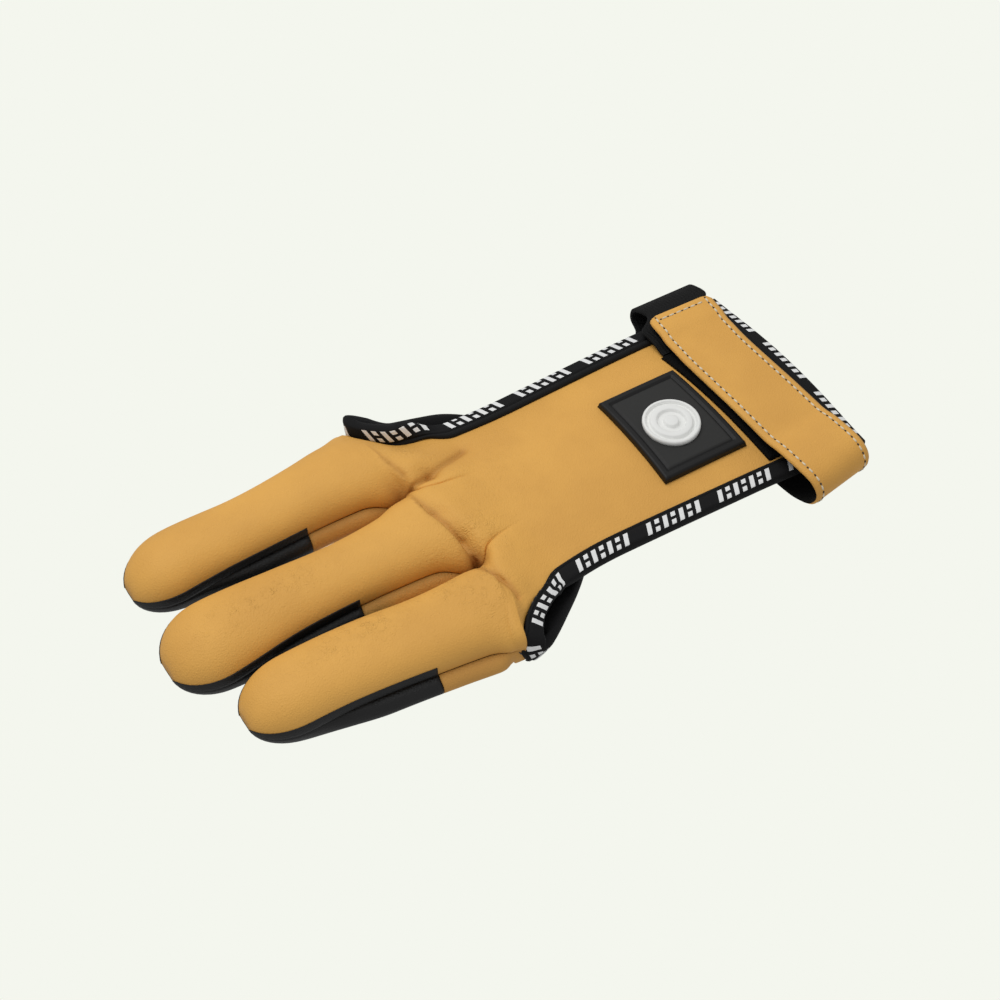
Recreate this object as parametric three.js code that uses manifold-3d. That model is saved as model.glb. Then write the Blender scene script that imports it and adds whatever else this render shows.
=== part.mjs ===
// Three-finger archery glove lying back up: x runs to the wrist, y to the far side, z up, in mm
import * as THREE from 'three';
import Module from 'manifold-3d';

const wasm = await Module();
wasm.setup();

// Main sizes
const FINGER_LENGTH = 79;
const FINGER_WIDTH = 22;
const FINGER_HEIGHT = 17;
const SEAM_HEIGHT = 9;
const TIP_LENGTH = 14;
const HAND_LENGTH = 117;
const HAND_WIDTH = 88;
const BACK_HEIGHT = 15;
const PALM_LENGTH = 47;
const LEATHER = 1.3;
const GAP = 0.3;
const TAPE = 1;
const BINDING_WIDTH = 6.6;
const STRAP_WIDTH = 21;
const STRAP_SPAN = 80;
const STRAP_HEIGHT = 20;
const BAND_THICKNESS = 1.2;
const BACKING = 1;
const LABEL_LENGTH = 26;
const LABEL_WIDTH = 32.5;
const LABEL_THICKNESS = 1.6;
const EMBLEM_RADIUS = 8;
const EMBLEM_HEIGHT = 0.9;

// Derived sizes
const PITCH = HAND_WIDTH / 3;
const HALF = HAND_WIDTH / 2;
const COLS = 8;
const ALL_COLS = 3 * COLS;
const EDGE = BINDING_WIDTH - GAP - TAPE - 0.6;
const STRAP_X = 0.777 * HAND_LENGTH;

// Fingers from the far side: length and guard as shares of FINGER_LENGTH, tip at the crotch line plus that;
// sections at a share of the length, centre as a share of PITCH, half as a share of half FINGER_WIDTH
const FINGERS = [
  { name: 'ring', slot: 1, length: 0.95, guard: 0.665, sections: [
    { at: 0, centre: 0.84, half: 0.93 },
    { at: 0.2, centre: 0.868, half: 0.955 },
    { at: 0.5, centre: 0.885, half: 0.89 },
    { at: 0.75, centre: 0.94, half: 0.95 },
    { at: 0.92, centre: 0.985, half: 1.07 },
    { at: 1, centre: 1, half: 1.1 },
  ] },
  { name: 'middle', slot: 0, length: 0.985, guard: 0.63, sections: [
    { at: 0, centre: -0.105, half: 1.16 },
    { at: 0.2, centre: -0.08, half: 1.14 },
    { at: 0.45, centre: -0.05, half: 0.94 },
    { at: 0.7, centre: -0.03, half: 0.89 },
    { at: 0.92, centre: -0.01, half: 1.03 },
    { at: 1, centre: 0, half: 1.1 },
  ] },
  { name: 'index', slot: -1, length: 0.865, guard: 0.685, sections: [
    { at: 0, centre: -0.925, half: 1 },
    { at: 0.2, centre: -0.93, half: 1.02 },
    { at: 0.5, centre: -0.95, half: 1.05 },
    { at: 0.75, centre: -1, half: 1.06 },
    { at: 0.92, centre: -1.01, half: 1.14 },
    { at: 1, centre: -1, half: 1.2 },
  ] },
];

// Distances of the finger rows from the tip, as shares of the finger's length
const FINGER_ROWS = [0.004, 0.016, 0.038, 0.07, 0.112, 0.165, 0.235, 0.33, 0.44, 0.56, 0.68, 0.79, 0.87,
  0.93, 0.97];

// Numbered rows of a table with named columns
const table = (columns, rows) => rows.map((values, row) => (
  Object.fromEntries([['row', row], ...columns.split(' ').map((name, i) => [name, values[i]])])
));

// Back of the hand, a row for each section: x as shares of HAND_LENGTH at the middle, far and near edge,
// y as shares of HALF, z of the edges as shares of SEAM_HEIGHT and of the crown as shares of BACK_HEIGHT
const BACK = table('mid farX farY farZ nearX nearY nearZ crown', [
  [0.013, -0.03, 1, 1, 0.017, -1, 1, 1.07],
  [0.03, -0.012, 1, 1, 0.05, -1.014, 1, 1.06],
  [0.048, 0.012, 0.9, 1.03, 0.06, -0.955, 1.04, 1.04],
  [0.068, 0.042, 0.825, 1.06, 0.074, -0.885, 1.06, 1.01],
  [0.09, 0.075, 0.77, 1.08, 0.094, -0.835, 1.07, 0.98],
  [0.116, 0.11, 0.733, 1.08, 0.122, -0.788, 1.07, 0.955],
  [0.147, 0.152, 0.71, 1.08, 0.157, -0.749, 1.07, 0.935],
  [0.19, 0.198, 0.7, 1.07, 0.203, -0.715, 1.06, 0.915],
  [0.25, 0.257, 0.694, 1.06, 0.262, -0.688, 1.05, 0.9],
  [0.325, 0.33, 0.696, 1.05, 0.33, -0.672, 1.04, 0.885],
  [0.42, 0.42, 0.71, 1.03, 0.42, -0.667, 1.02, 0.87],
  [0.53, 0.53, 0.728, 1.01, 0.53, -0.665, 1, 0.85],
  [0.64, 0.64, 0.745, 0.99, 0.64, -0.665, 0.98, 0.83],
  [0.75, 0.745, 0.757, 0.97, 0.75, -0.665, 0.96, 0.8],
  [0.85, 0.84, 0.757, 0.94, 0.855, -0.67, 0.93, 0.77],
  [0.925, 0.91, 0.762, 0.92, 0.935, -0.675, 0.91, 0.745],
  [0.99, 0.972, 0.762, 0.9, 1.008, -0.675, 0.89, 0.725],
]);

// Palm side in the same columns, x as shares of PALM_LENGTH from the third row on; floor is the height
// of its middle as a share of SEAM_HEIGHT
const PALM = table('mid farX farY farZ nearX nearY nearZ floor', [
  [0.033, -0.075, 1, 1, 0.043, -1, 1, 0],
  [0.075, -0.03, 1, 1, 0.124, -1.014, 1, 0],
  [0.13, 0.05, 1.01, 0.95, 0.18, -1.02, 0.7, 0],
  [0.19, 0.15, 0.98, 0.92, 0.255, -0.98, 0.45, 0],
  [0.27, 0.27, 0.925, 0.9, 0.34, -0.905, 0.35, 0],
  [0.37, 0.4, 0.87, 0.88, 0.44, -0.81, 0.33, 0],
  [0.5, 0.54, 0.81, 0.85, 0.55, -0.71, 0.32, 0],
  [0.67, 0.68, 0.735, 0.66, 0.66, -0.6, 0.31, 0.03],
  [0.84, 0.79, 0.62, 0.44, 0.765, -0.47, 0.3, 0.16],
  [1, 0.94, 0.5, 0.33, 0.92, -0.36, 0.3, 0.29],
]);

// Folds of the back: ends as shares of HAND_LENGTH and HALF, depth of LEATHER, reach of PITCH
const FOLDS = [
  { x0: -0.01, y0: 0.3, x1: 0.08, y1: 0.33, depth: 1.3, reach: 0.09 },
  { x0: 0.08, y0: 0.33, x1: 0.19, y1: 0.45, depth: 0.8, reach: 0.12 },
  { x0: 0.02, y0: 0.4, x1: -0.01, y1: 0.78, depth: 0.6, reach: 0.09 },
  { x0: 0, y0: 0.22, x1: 0.035, y1: -0.05, depth: 1.3, reach: 0.1 },
  { x0: 0.035, y0: -0.05, x1: 0.03, y1: -0.4, depth: 1.2, reach: 0.1 },
  { x0: 0.03, y0: -0.44, x1: 0.095, y1: -0.6, depth: 1, reach: 0.09 },
  { x0: 0.045, y0: 0.25, x1: 0.12, y1: 0.24, depth: -0.5, reach: 0.12 },
];

const clamp = (t) => Math.min(1, Math.max(0, t));
const smooth = (t) => clamp(t) ** 2 * (3 - 2 * clamp(t));
const mix = (a, b, t) => a + (b - a) * t;
const bow = (t, power) => Math.max(0, 1 - Math.abs(t) ** power) ** (1 / power);
const round = (distance, length, power) => bow(1 - clamp(distance / length), power);

// Smooth curve through one column of a table, at a given value of its key column
function curve(rows, key, column, at) {
  let i = 0;
  while (i < rows.length - 2 && at > rows[i + 1][key]) i += 1;
  const slope = (a, b) => (b[column] - a[column]) / (b[key] - a[key]);
  const [p, q] = [rows[i], rows[i + 1]];
  const span = q[key] - p[key];
  const here = slope(p, q);
  const before = i > 0 ? (slope(rows[i - 1], p) + here) / 2 : here;
  const after = i < rows.length - 2 ? (here + slope(q, rows[i + 2])) / 2 : here;
  const t = clamp((at - p[key]) / span);
  const line = mix(p[column], q[column], t);
  return line + span * t * (1 - t) * ((before - here) * (1 - t) - (after - here) * t);
}

// Rise of the hand's arch across it, level at the bound edges
const archShare = (v) => Math.max(0, 1 - Math.abs(v) ** 2.2) ** 1.5;

// How far the three finger lobes have run together into one arch, at a distance past the crotch line
const joined = (x, reach) => smooth(x / (reach * HAND_LENGTH));

// Plan place of a hand column: s runs across its finger, v across the hand, both from far (1) to near (-1)
function handPlan(table, length, row, col, reach) {
  const finger = Math.min(2, Math.floor(col / COLS));
  const at = (column) => curve(table, 'row', column, row);
  const q = joined(at('mid') * length, reach);
  const even = 1 - 2 * (col / COLS - finger);
  const s = mix(Math.sin(even * Math.PI / 2), even, q);
  const v = (2 * (1 - finger) + s) / 3;
  const middle = (at('farX') + at('nearX')) / 2;
  const skew = -0.06 * HAND_LENGTH * v * (1 - v * v) * Math.exp(-0.6 * row);
  const x = length * (at('mid') + (at('farX') - at('nearX')) / 2 * v + (middle - at('mid')) * v * v) + skew;
  const y = HALF * mix(at('nearY'), at('farY'), (v + 1) / 2);
  return { x, y, s, v, q, at };
}

function foldDepth(x, y) {
  let depth = 0;
  for (const fold of FOLDS) {
    const ax = fold.x0 * HAND_LENGTH;
    const ay = fold.y0 * HALF;
    const dx = fold.x1 * HAND_LENGTH - ax;
    const dy = fold.y1 * HALF - ay;
    const t = clamp(((x - ax) * dx + (y - ay) * dy) / (dx * dx + dy * dy));
    const away = Math.hypot(x - ax - t * dx, y - ay - t * dy) / (fold.reach * PITCH);
    depth += fold.depth * LEATHER * Math.exp(-away * away);
  }
  return depth;
}

// Outer surface of the back of the hand
function backPoint(row, col) {
  const { x, y, s, v, q, at } = handPlan(BACK, HAND_LENGTH, row, col, 0.2);
  const edge = SEAM_HEIGHT * mix(at('nearZ'), at('farZ'), (v + 1) / 2) + GAP / 2;
  const behind = row > 0 ? bow(v, 4) : 0;
  const valley = 0.45 * behind * round(x, 0.22 * PITCH, 2.2);
  const lobe = (FINGER_HEIGHT - SEAM_HEIGHT) * mix(valley, 1, bow(s, 2.3));
  const arch = (BACK_HEIGHT * at('crown') - edge) * archShare(v);
  const depth = behind * clamp(x / PITCH * 6 - 0.2) * foldDepth(x, y);
  return [x, y, edge + mix(lobe, arch, q) - depth];
}

// Height of the back's plain part behind the knuckles
function backHeight(x, y) {
  const at = (column) => curve(BACK, 'mid', column, x / HAND_LENGTH);
  const v = (2 * y / HALF - at('farY') - at('nearY')) / (at('farY') - at('nearY'));
  const edge = SEAM_HEIGHT * mix(at('nearZ'), at('farZ'), (v + 1) / 2) + GAP / 2;
  return edge + (BACK_HEIGHT * at('crown') - edge) * archShare(v);
}

// Outer surface of the palm side
function palmPoint(row, col) {
  const { x, y, s, v, q, at } = handPlan(PALM, PALM_LENGTH, row, col, 0.11);
  const edge = SEAM_HEIGHT * mix(at('nearZ'), at('farZ'), (v + 1) / 2) - GAP / 2;
  const drop = 0.65 * bow(v, 4) * round(x, 0.22 * PITCH, 2.2);
  const lobe = edge * (1 - bow(s, 3.2)) * (1 - (row > 0 ? drop : 0));
  const floor = SEAM_HEIGHT * at('floor');
  const rise = Math.abs(v) ** 3;
  return [x, y, mix(lobe, floor + Math.max(0, edge - floor) * rise, q)];
}

// Outer surface of a finger, above or below its seam
function fingerPoint(finger, at, col, above) {
  const { slot, length, sections } = finger;
  const reach = length * FINGER_LENGTH;
  const base = above ? backPoint(0, (1 - slot) * COLS + col) : palmPoint(0, (1 - slot) * COLS + col);
  if (at === 1) return base;
  const s = Math.sin((1 - 2 * col / COLS) * Math.PI / 2);
  const web = smooth((at - 0.86) / 0.14) ** 2;
  const half = mix(curve(sections, 'at', 'half', at) * FINGER_WIDTH / 2, PITCH / 2, web);
  const centre = curve(sections, 'at', 'centre', at) * PITCH;
  const seam = SEAM_HEIGHT * mix(0.72, 1, smooth(at / 0.4));
  const x = mix(-reach, base[0], at);
  const wall = Math.min(1, 1.05 * bow(s, 3.2));
  const out = 0.88 * wall * (1 - wall) * smooth((at - 0.15) / 0.35) * (1 - web);
  const bulge = above ? 0 : out - 0.14 * wall * (1 - smooth(at / 0.35));
  const y = centre + half * round(at * reach, TIP_LENGTH, 2.2) * s * (1 + bulge);
  const inward = (at - FINGER_ROWS[0]) * reach;
  const rise = (FINGER_HEIGHT - seam) * round(inward, 1.3 * TIP_LENGTH, 2.2) * bow(s, 2.3);
  const drop = (seam - GAP / 2) * round(inward, 1.3 * TIP_LENGTH, 2.2) * wall;
  return [x, y, above ? seam + GAP / 2 + rise : seam - GAP / 2 - drop];
}

// An open sheet: points with a seam flag, and triangles facing out
class Sheet {
  constructor(up = 1) {
    this.up = new THREE.Vector3(0, 0, up);
    this.points = [];
    this.seam = [];
    this.faces = [];
    this.keys = new Map();
  }

  add(point, seam) {
    const key = point.map((value) => Math.round(value * 1000)).join();
    if (!this.keys.has(key)) {
      this.keys.set(key, this.points.length);
      this.points.push(new THREE.Vector3(...point));
      this.seam.push(false);
    }
    const index = this.keys.get(key);
    this.seam[index] = this.seam[index] || seam;
    return index;
  }

  // Rows of points, joined into triangles; flip turns them to face the other way
  grid(rows, flip) {
    for (let i = 0; i + 1 < rows.length; i += 1) {
      for (let j = 0; j + 1 < rows[i].length; j += 1) {
        const [a, b, c, d] = [rows[i][j], rows[i + 1][j], rows[i + 1][j + 1], rows[i][j + 1]];
        this.face(a, b, c, flip);
        this.face(a, c, d, flip);
      }
    }
    return this;
  }

  face(a, b, c, flip) {
    if (a !== b && b !== c && a !== c) this.faces.push(flip ? [a, c, b] : [a, b, c]);
  }

  // Border edges, with the sheet on their left
  border() {
    const used = new Set(this.faces.flatMap(([a, b, c]) => [`${a},${b}`, `${b},${c}`, `${c},${a}`]));
    const edges = [...used].map((edge) => edge.split(',').map(Number));
    return edges.filter(([p, q]) => !used.has(`${q},${p}`));
  }

  // Unit normals at the points; on the seam they lie level and square to it
  normals() {
    const normals = this.points.map(() => new THREE.Vector3());
    for (const [a, b, c] of this.faces) {
      const ab = this.points[b].clone().sub(this.points[a]);
      const normal = ab.cross(this.points[c].clone().sub(this.points[a]));
      for (const index of [a, b, c]) if (!this.seam[index]) normals[index].add(normal);
    }
    for (const [p, q] of this.border()) {
      const along = this.points[q].clone().sub(this.points[p]).normalize();
      const level = along.cross(this.up).setZ(0);
      if (this.seam[p] && this.seam[q]) for (const index of [p, q]) normals[index].add(level);
    }
    return normals.map((normal) => normal.normalize());
  }

  // Closed solid from a height above the sheet to a depth inside it, grown past the sheet's border
  solid(height, depth, grow = 0) {
    const normals = this.normals();
    const count = this.points.length;
    const open = this.border();
    const outward = this.points.map(() => new THREE.Vector3());
    for (const [p, q] of open) {
      const along = this.points[q].clone().sub(this.points[p]).normalize();
      for (const end of [p, q]) outward[end].add(along.clone().cross(normals[end]));
    }
    const offset = (by) => this.points.map((point, i) => (
      point.clone().addScaledVector(normals[i], by).addScaledVector(outward[i].normalize(), grow)
    ));
    const faces = [...this.faces, ...this.faces.map(([a, b, c]) => [a + count, c + count, b + count])];
    for (const [p, q] of open) faces.push([q, p, p + count], [q, p + count, q + count]);
    return meshData([...offset(height), ...offset(-depth)], faces);
  }
}

// Points and faces turned to face out
function meshData(points, faces) {
  let volume = 0;
  for (const [a, b, c] of faces) volume += points[a].dot(points[b].clone().cross(points[c]));
  return { points, faces: volume < 0 ? faces.map(([a, b, c]) => [a, c, b]) : faces };
}

const steps = (from, to, count) => Array.from({ length: count + 1 }, (_, i) => mix(from, to, i / count));
const columns = (count) => steps(0, count, count);

// Rows of one finger between two shares of its length
function fingerRows(sheet, finger, from, to, above) {
  const inside = FINGER_ROWS.filter((at) => at > from + 0.02 && at < to - 0.02);
  return [from, ...inside, to].map((at) => columns(COLS).map((col) => {
    const border = col === 0 || col === COLS || at === FINGER_ROWS[0];
    return sheet.add(fingerPoint(finger, at, col, above), border);
  }));
}

function handRows(sheet, point, count) {
  return columns(count - 1).map((row) => columns(ALL_COLS).map((col) => {
    const crotch = row === 0 && col % COLS === 0;
    const side = row === 1 && col % ALL_COLS === 0;
    return sheet.add(point(row, col), crotch || side);
  }));
}

// Back panel: three finger tops that run into the back of the hand
const back = new Sheet();
for (const finger of FINGERS) back.grid(fingerRows(back, finger, FINGER_ROWS[0], 1, true), true);
const backGrid = handRows(back, backPoint, BACK.length);
back.grid(backGrid, true);

// Palm panel behind the guards, and the three guards
const palm = new Sheet(-1);
for (const finger of FINGERS) {
  const cut = finger.guard + GAP / (2 * finger.length * FINGER_LENGTH);
  palm.grid(fingerRows(palm, finger, cut, 1, false), false);
}
const palmGrid = handRows(palm, palmPoint, PALM.length);
palm.grid(palmGrid, false);
const guards = FINGERS.map((finger) => {
  const cut = finger.guard - GAP / (2 * finger.length * FINGER_LENGTH);
  const guard = new Sheet(-1);
  return guard.grid(fingerRows(guard, finger, FINGER_ROWS[0], cut, false), false);
});

// Nearest place of a point on the sheets, with the normal there
const triangle = new THREE.Triangle();
function settle(sheets, point) {
  let best = Infinity;
  const found = { point: new THREE.Vector3(), normal: new THREE.Vector3() };
  const close = new THREE.Vector3();
  const share = new THREE.Vector3();
  for (const { sheet, normals } of sheets) {
    for (const [a, b, c] of sheet.faces) {
      triangle.set(sheet.points[a], sheet.points[b], sheet.points[c]);
      triangle.closestPointToPoint(point, close);
      const distance = close.distanceToSquared(point);
      if (distance < best) {
        best = distance;
        triangle.getBarycoord(close, share);
        found.point.copy(close);
        found.normal.set(0, 0, 0).addScaledVector(normals[a], share.x);
        found.normal.addScaledVector(normals[b], share.y).addScaledVector(normals[c], share.z).normalize();
      }
    }
  }
  return found;
}

// Section of a folded tape round a leather edge: away from the edge, and up from the leather's middle
const FOLD_REACH = GAP + TAPE + 0.6;
const SLOT = LEATHER / 2 + GAP;
const TAPE_TOP = SLOT + TAPE;
const FOLD_SECTION = [
  [0.35 * FOLD_REACH, TAPE_TOP], [0.8 * FOLD_REACH, 0.75 * TAPE_TOP], [FOLD_REACH, 0.25 * TAPE_TOP],
  [FOLD_REACH, -0.25 * TAPE_TOP], [0.8 * FOLD_REACH, -0.75 * TAPE_TOP], [0.35 * FOLD_REACH, -TAPE_TOP],
];
const SLOT_SECTION = [[GAP, -SLOT], [GAP, SLOT]];
const FLANGES = [EDGE, EDGE / 2];

// Tape folded over a row of edge stations {point, normal, out}
function binding(stations, sheets) {
  const points = [];
  const sections = stations.map(({ point, normal, out }) => {
    const middle = point.clone().addScaledVector(normal, -LEATHER / 2);
    const place = (away, up) => middle.clone().addScaledVector(out, away).addScaledVector(normal, up);
    const settled = FLANGES.map((reach) => {
      const target = point.clone().addScaledVector(out, -reach);
      const spot = settle(sheets, target);
      return (up) => spot.point.clone().addScaledVector(spot.normal, up - LEATHER / 2);
    });
    const section = [
      ...settled.map((spot) => spot(TAPE_TOP)),
      ...FOLD_SECTION.map(([away, up]) => place(away, up)),
      ...[...settled].reverse().map((spot) => spot(-TAPE_TOP)),
      ...settled.map((spot) => spot(-SLOT)),
      ...SLOT_SECTION.map(([away, up]) => place(away, up)),
      ...[...settled].reverse().map((spot) => spot(SLOT)),
    ];
    return section.map((p) => points.push(p) - 1);
  });
  const flat = [
    ...FLANGES.map((reach) => [-reach, TAPE_TOP]),
    ...FOLD_SECTION,
    ...[...FLANGES].reverse().map((reach) => [-reach, -TAPE_TOP]),
    ...FLANGES.map((reach) => [-reach, -SLOT]),
    ...SLOT_SECTION,
    ...[...FLANGES].reverse().map((reach) => [-reach, SLOT]),
  ].map(([a, b]) => new THREE.Vector2(a, b));
  const caps = THREE.ShapeUtils.triangulateShape(flat, []);
  return tube(points, sections, caps);
}

// Closed solid from rings of point numbers, with the same end caps
function tube(points, rings, caps) {
  const faces = [];
  for (let i = 0; i + 1 < rings.length; i += 1) {
    rings[i].forEach((a, j) => {
      const k = (j + 1) % rings[i].length;
      faces.push([a, rings[i + 1][j], rings[i + 1][k]], [a, rings[i + 1][k], rings[i][k]]);
    });
  }
  const area = caps.reduce((sum, [a, b, c]) => sum + Math.sign((b - a) * (c - b) * (c - a)), 0);
  const ends = area < 0 ? caps.map(([a, b, c]) => [a, c, b]) : caps;
  for (const [a, b, c] of ends) {
    faces.push([rings[0][a], rings[0][b], rings[0][c]]);
    const last = rings[rings.length - 1];
    faces.push([last[a], last[c], last[b]]);
  }
  return meshData(points, faces);
}

// Edge stations along a run of sheet points; side is 1 where the leather lies to the left of the run
function edgeStations(run, side) {
  const smoothed = (list, turns) => {
    let now = list;
    for (let turn = 0; turn < turns; turn += 1) {
      now = now.map((value, i) => {
        const sum = value.clone().multiplyScalar(2);
        return sum.add(now[Math.max(0, i - 1)]).add(now[Math.min(now.length - 1, i + 1)]).normalize();
      });
    }
    return now;
  };
  const normals = smoothed(run.map(({ normal }) => normal), 1);
  const outs = smoothed(run.map((_, i) => {
    const ahead = run[Math.min(run.length - 1, i + 1)].point.clone();
    const along = ahead.sub(run[Math.max(0, i - 1)].point).normalize();
    return normals[i].clone().cross(along).multiplyScalar(side).normalize();
  }), 1);
  return run.map(({ point }, i) => {
    const out = outs[i].addScaledVector(normals[i], -outs[i].dot(normals[i])).normalize();
    return { point, normal: normals[i], out };
  });
}

const backNormals = back.normals();
const palmNormals = palm.normals();
const onBack = (index) => ({ point: back.points[index], normal: backNormals[index] });
const onPalm = (index) => ({ point: palm.points[index], normal: palmNormals[index] });
const sheets = [{ sheet: back, normals: backNormals }, { sheet: palm, normals: palmNormals }];

// Side bindings: from the wrist along the back's edge, round the notch and along the palm's edge
function sideRun(col, middle) {
  const wrist = backGrid.map((row) => row[col]).reverse();
  const stop = back.points[wrist[0]].x - EDGE - 2 * GAP;
  const run = wrist.map(onBack).filter(({ point }) => point.x < stop && point.x > 0);
  const start = run[0].point.clone();
  start.x = stop;
  start.z = backHeight(stop, start.y);
  run.unshift({ point: start, normal: run[0].normal.clone() });
  run.pop();
  const joint = onPalm(palmGrid[1][col]);
  const corner = run[run.length - 1];
  corner.point = corner.point.clone().lerp(joint.point, 0.5);
  corner.normal = corner.normal.clone().add(joint.normal).normalize();
  const edge = palmGrid.slice(2).map((row) => onPalm(row[col]));
  const end = palmGrid[palmGrid.length - 1];
  const across = end.slice(Math.min(col, middle), Math.max(col, middle) + 1);
  const tail = (col > middle ? across.reverse() : across).slice(1).map(onPalm);
  return [...run, ...edge, ...tail];
}

function trimmed(run, length) {
  const last = run[run.length - 1];
  const before = run[run.length - 2];
  const along = last.point.clone().sub(before.point).normalize();
  last.point = last.point.clone().addScaledVector(along, -length);
  return run;
}

// A piece with the room for the leather taken out of it, twice where its own flanges lap
function cleared(piece) {
  const shape = ({ points, faces }) => new wasm.Manifold(new wasm.Mesh({
    numProp: 3,
    vertProperties: Float32Array.from(points.flatMap((p) => [p.x, p.y, p.z])),
    triVerts: Uint32Array.from(faces.flat()),
  }));
  let result = shape(piece);
  const room = GAP / 2;
  for (const sheet of [back, palm, back, palm]) {
    result = result.subtract(shape(sheet.solid(room, LEATHER + room, room)));
  }
  const bodies = result.simplify(GAP / 6).decompose();
  const mesh = bodies.sort((a, b) => b.volume() - a.volume())[0].getMesh();
  const welded = new Sheet();
  const at = (index) => {
    const start = index * mesh.numProp;
    return welded.add([...mesh.vertProperties.slice(start, start + 3)], false);
  };
  for (let i = 0; i < mesh.triVerts.length; i += 3) {
    welded.face(at(mesh.triVerts[i]), at(mesh.triVerts[i + 1]), at(mesh.triVerts[i + 2]), false);
  }
  return meshData(welded.points, welded.faces);
}

const middleCol = Math.round(0.46 * ALL_COLS);
const nearBinding = cleared(binding(edgeStations(trimmed(sideRun(ALL_COLS, middleCol), GAP), 1), sheets));
const farBinding = cleared(binding(edgeStations(trimmed(sideRun(0, middleCol), GAP), -1), sheets));

// Wrist binding along the last row of the back, reaching past its corners
function wristRun() {
  const run = backGrid[backGrid.length - 1].map(onBack).filter((_, i) => i % 2 === 0);
  const past = (end, next) => {
    const along = end.point.clone().sub(next.point).normalize();
    return { point: end.point.clone().addScaledVector(along, FOLD_REACH), normal: end.normal };
  };
  const last = run.length - 1;
  return [past(run[0], run[1]), ...run, past(run[last], run[last - 1])];
}

const wristEnds = (stations) => stations.map((station) => {
  const out = new THREE.Vector3(1, 0, station.out.z / Math.max(0.2, station.out.x)).normalize();
  return { ...station, out };
});

// Flat piece that follows the back, at a height above it: turned in plan, or slanted along x
function patch({ x, y, length, width, turn = 0, slant = 0, above, thickness, nx, ny, inset = 0 }) {
  const points = [];
  const ring = (level, shrink, i, j) => {
    const a = (i / nx - 0.5) * (length - 2 * shrink);
    const b = (j / ny - 0.5) * (width - 2 * shrink);
    const px = x + a * Math.cos(turn) - b * (Math.sin(turn) + slant);
    const py = y + a * Math.sin(turn) + b * Math.cos(turn);
    return points.push(new THREE.Vector3(px, py, backHeight(px, py) + level)) - 1;
  };
  const bottom = columns(nx).map((i) => columns(ny).map((j) => ring(above, 0, i, j)));
  const top = columns(nx).map((i) => columns(ny).map((j) => ring(above + thickness, inset, i, j)));
  const faces = [];
  const quad = (a, b, c, d) => faces.push([a, b, c], [a, c, d]);
  for (let i = 0; i < nx; i += 1) {
    for (let j = 0; j < ny; j += 1) {
      quad(top[i][j], top[i + 1][j], top[i + 1][j + 1], top[i][j + 1]);
      quad(bottom[i][j], bottom[i][j + 1], bottom[i + 1][j + 1], bottom[i + 1][j]);
    }
    quad(bottom[i][0], bottom[i + 1][0], top[i + 1][0], top[i][0]);
    quad(top[i][ny], top[i + 1][ny], bottom[i + 1][ny], bottom[i][ny]);
  }
  for (let j = 0; j < ny; j += 1) {
    quad(top[0][j], top[0][j + 1], bottom[0][j + 1], bottom[0][j]);
    quad(bottom[nx][j], bottom[nx][j + 1], top[nx][j + 1], top[nx][j]);
  }
  return meshData(points, faces);
}

// Bands round the wrist: a path in y and z, x shifting along it; top rows rise and fall with the
// back, and skew turns a row in plan
function band(path, width, thickness) {
  const points = [];
  const rings = path.map((station, i) => {
    const before = path[Math.max(0, i - 1)];
    const after = path[Math.min(path.length - 1, i + 1)];
    const length = Math.hypot(after.y - before.y, after.z - before.z);
    const ny = -(after.z - before.z) / length;
    const nz = (after.y - before.y) / length;
    const corner = (across, up) => {
      const x = station.x + (across - 0.5) * width * (station.wide ?? 1);
      const y = station.y + (station.skew ?? 0) * (x - station.x);
      const tilt = station.rest * (backHeight(x, y) - backHeight(station.x, station.y));
      const rise = up * thickness / 2;
      return points.push(new THREE.Vector3(x, y + ny * rise, station.z + tilt + nz * rise)) - 1;
    };
    return [corner(0, 1), corner(0.5, 1), corner(1, 1), corner(1, -1), corner(0.5, -1), corner(0, -1)];
  });
  return tube(points, rings, [[0, 1, 4], [0, 4, 5], [1, 2, 3], [1, 3, 4]]);
}

// Stack on the panel under the strap: centre heights above the back
const PILE_LEVEL = GAP + BACKING / 2;
const HOOK_LEVEL = PILE_LEVEL + BACKING + GAP;
const STRAP_LEVEL = HOOK_LEVEL + (BACKING + LEATHER) / 2 + GAP;

// Strap from its far tip over the back, round the near fold and under the wrist: y as shares of
// STRAP_SPAN, lift above the stack or height above the ground as shares of STRAP_HEIGHT, shift and
// wide as shares of STRAP_WIDTH, skew as a slope in plan
const STRAP_TOP = [
  { y: 0.415, lift: 0.085, shift: -0.03, skew: 0 },
  { y: 0.37, lift: 0.085, shift: -0.045, skew: 0 },
  { y: 0.325, lift: 0.075, shift: -0.055, skew: 0 },
  { y: 0.29, lift: 0.035, shift: -0.065, skew: 0.01 },
  { y: 0.24, lift: 0.012, shift: -0.065, skew: 0.02 },
  { y: 0.16, lift: 0, shift: -0.07, skew: 0.03 },
  { y: 0.04, lift: 0, shift: -0.045, skew: 0.05 },
  { y: -0.08, lift: 0.005, shift: 0, skew: 0.07 },
  { y: -0.18, lift: 0.02, shift: 0.04, skew: 0.09 },
  { y: -0.255, lift: 0.035, shift: 0.075, skew: 0.11 },
];
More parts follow.
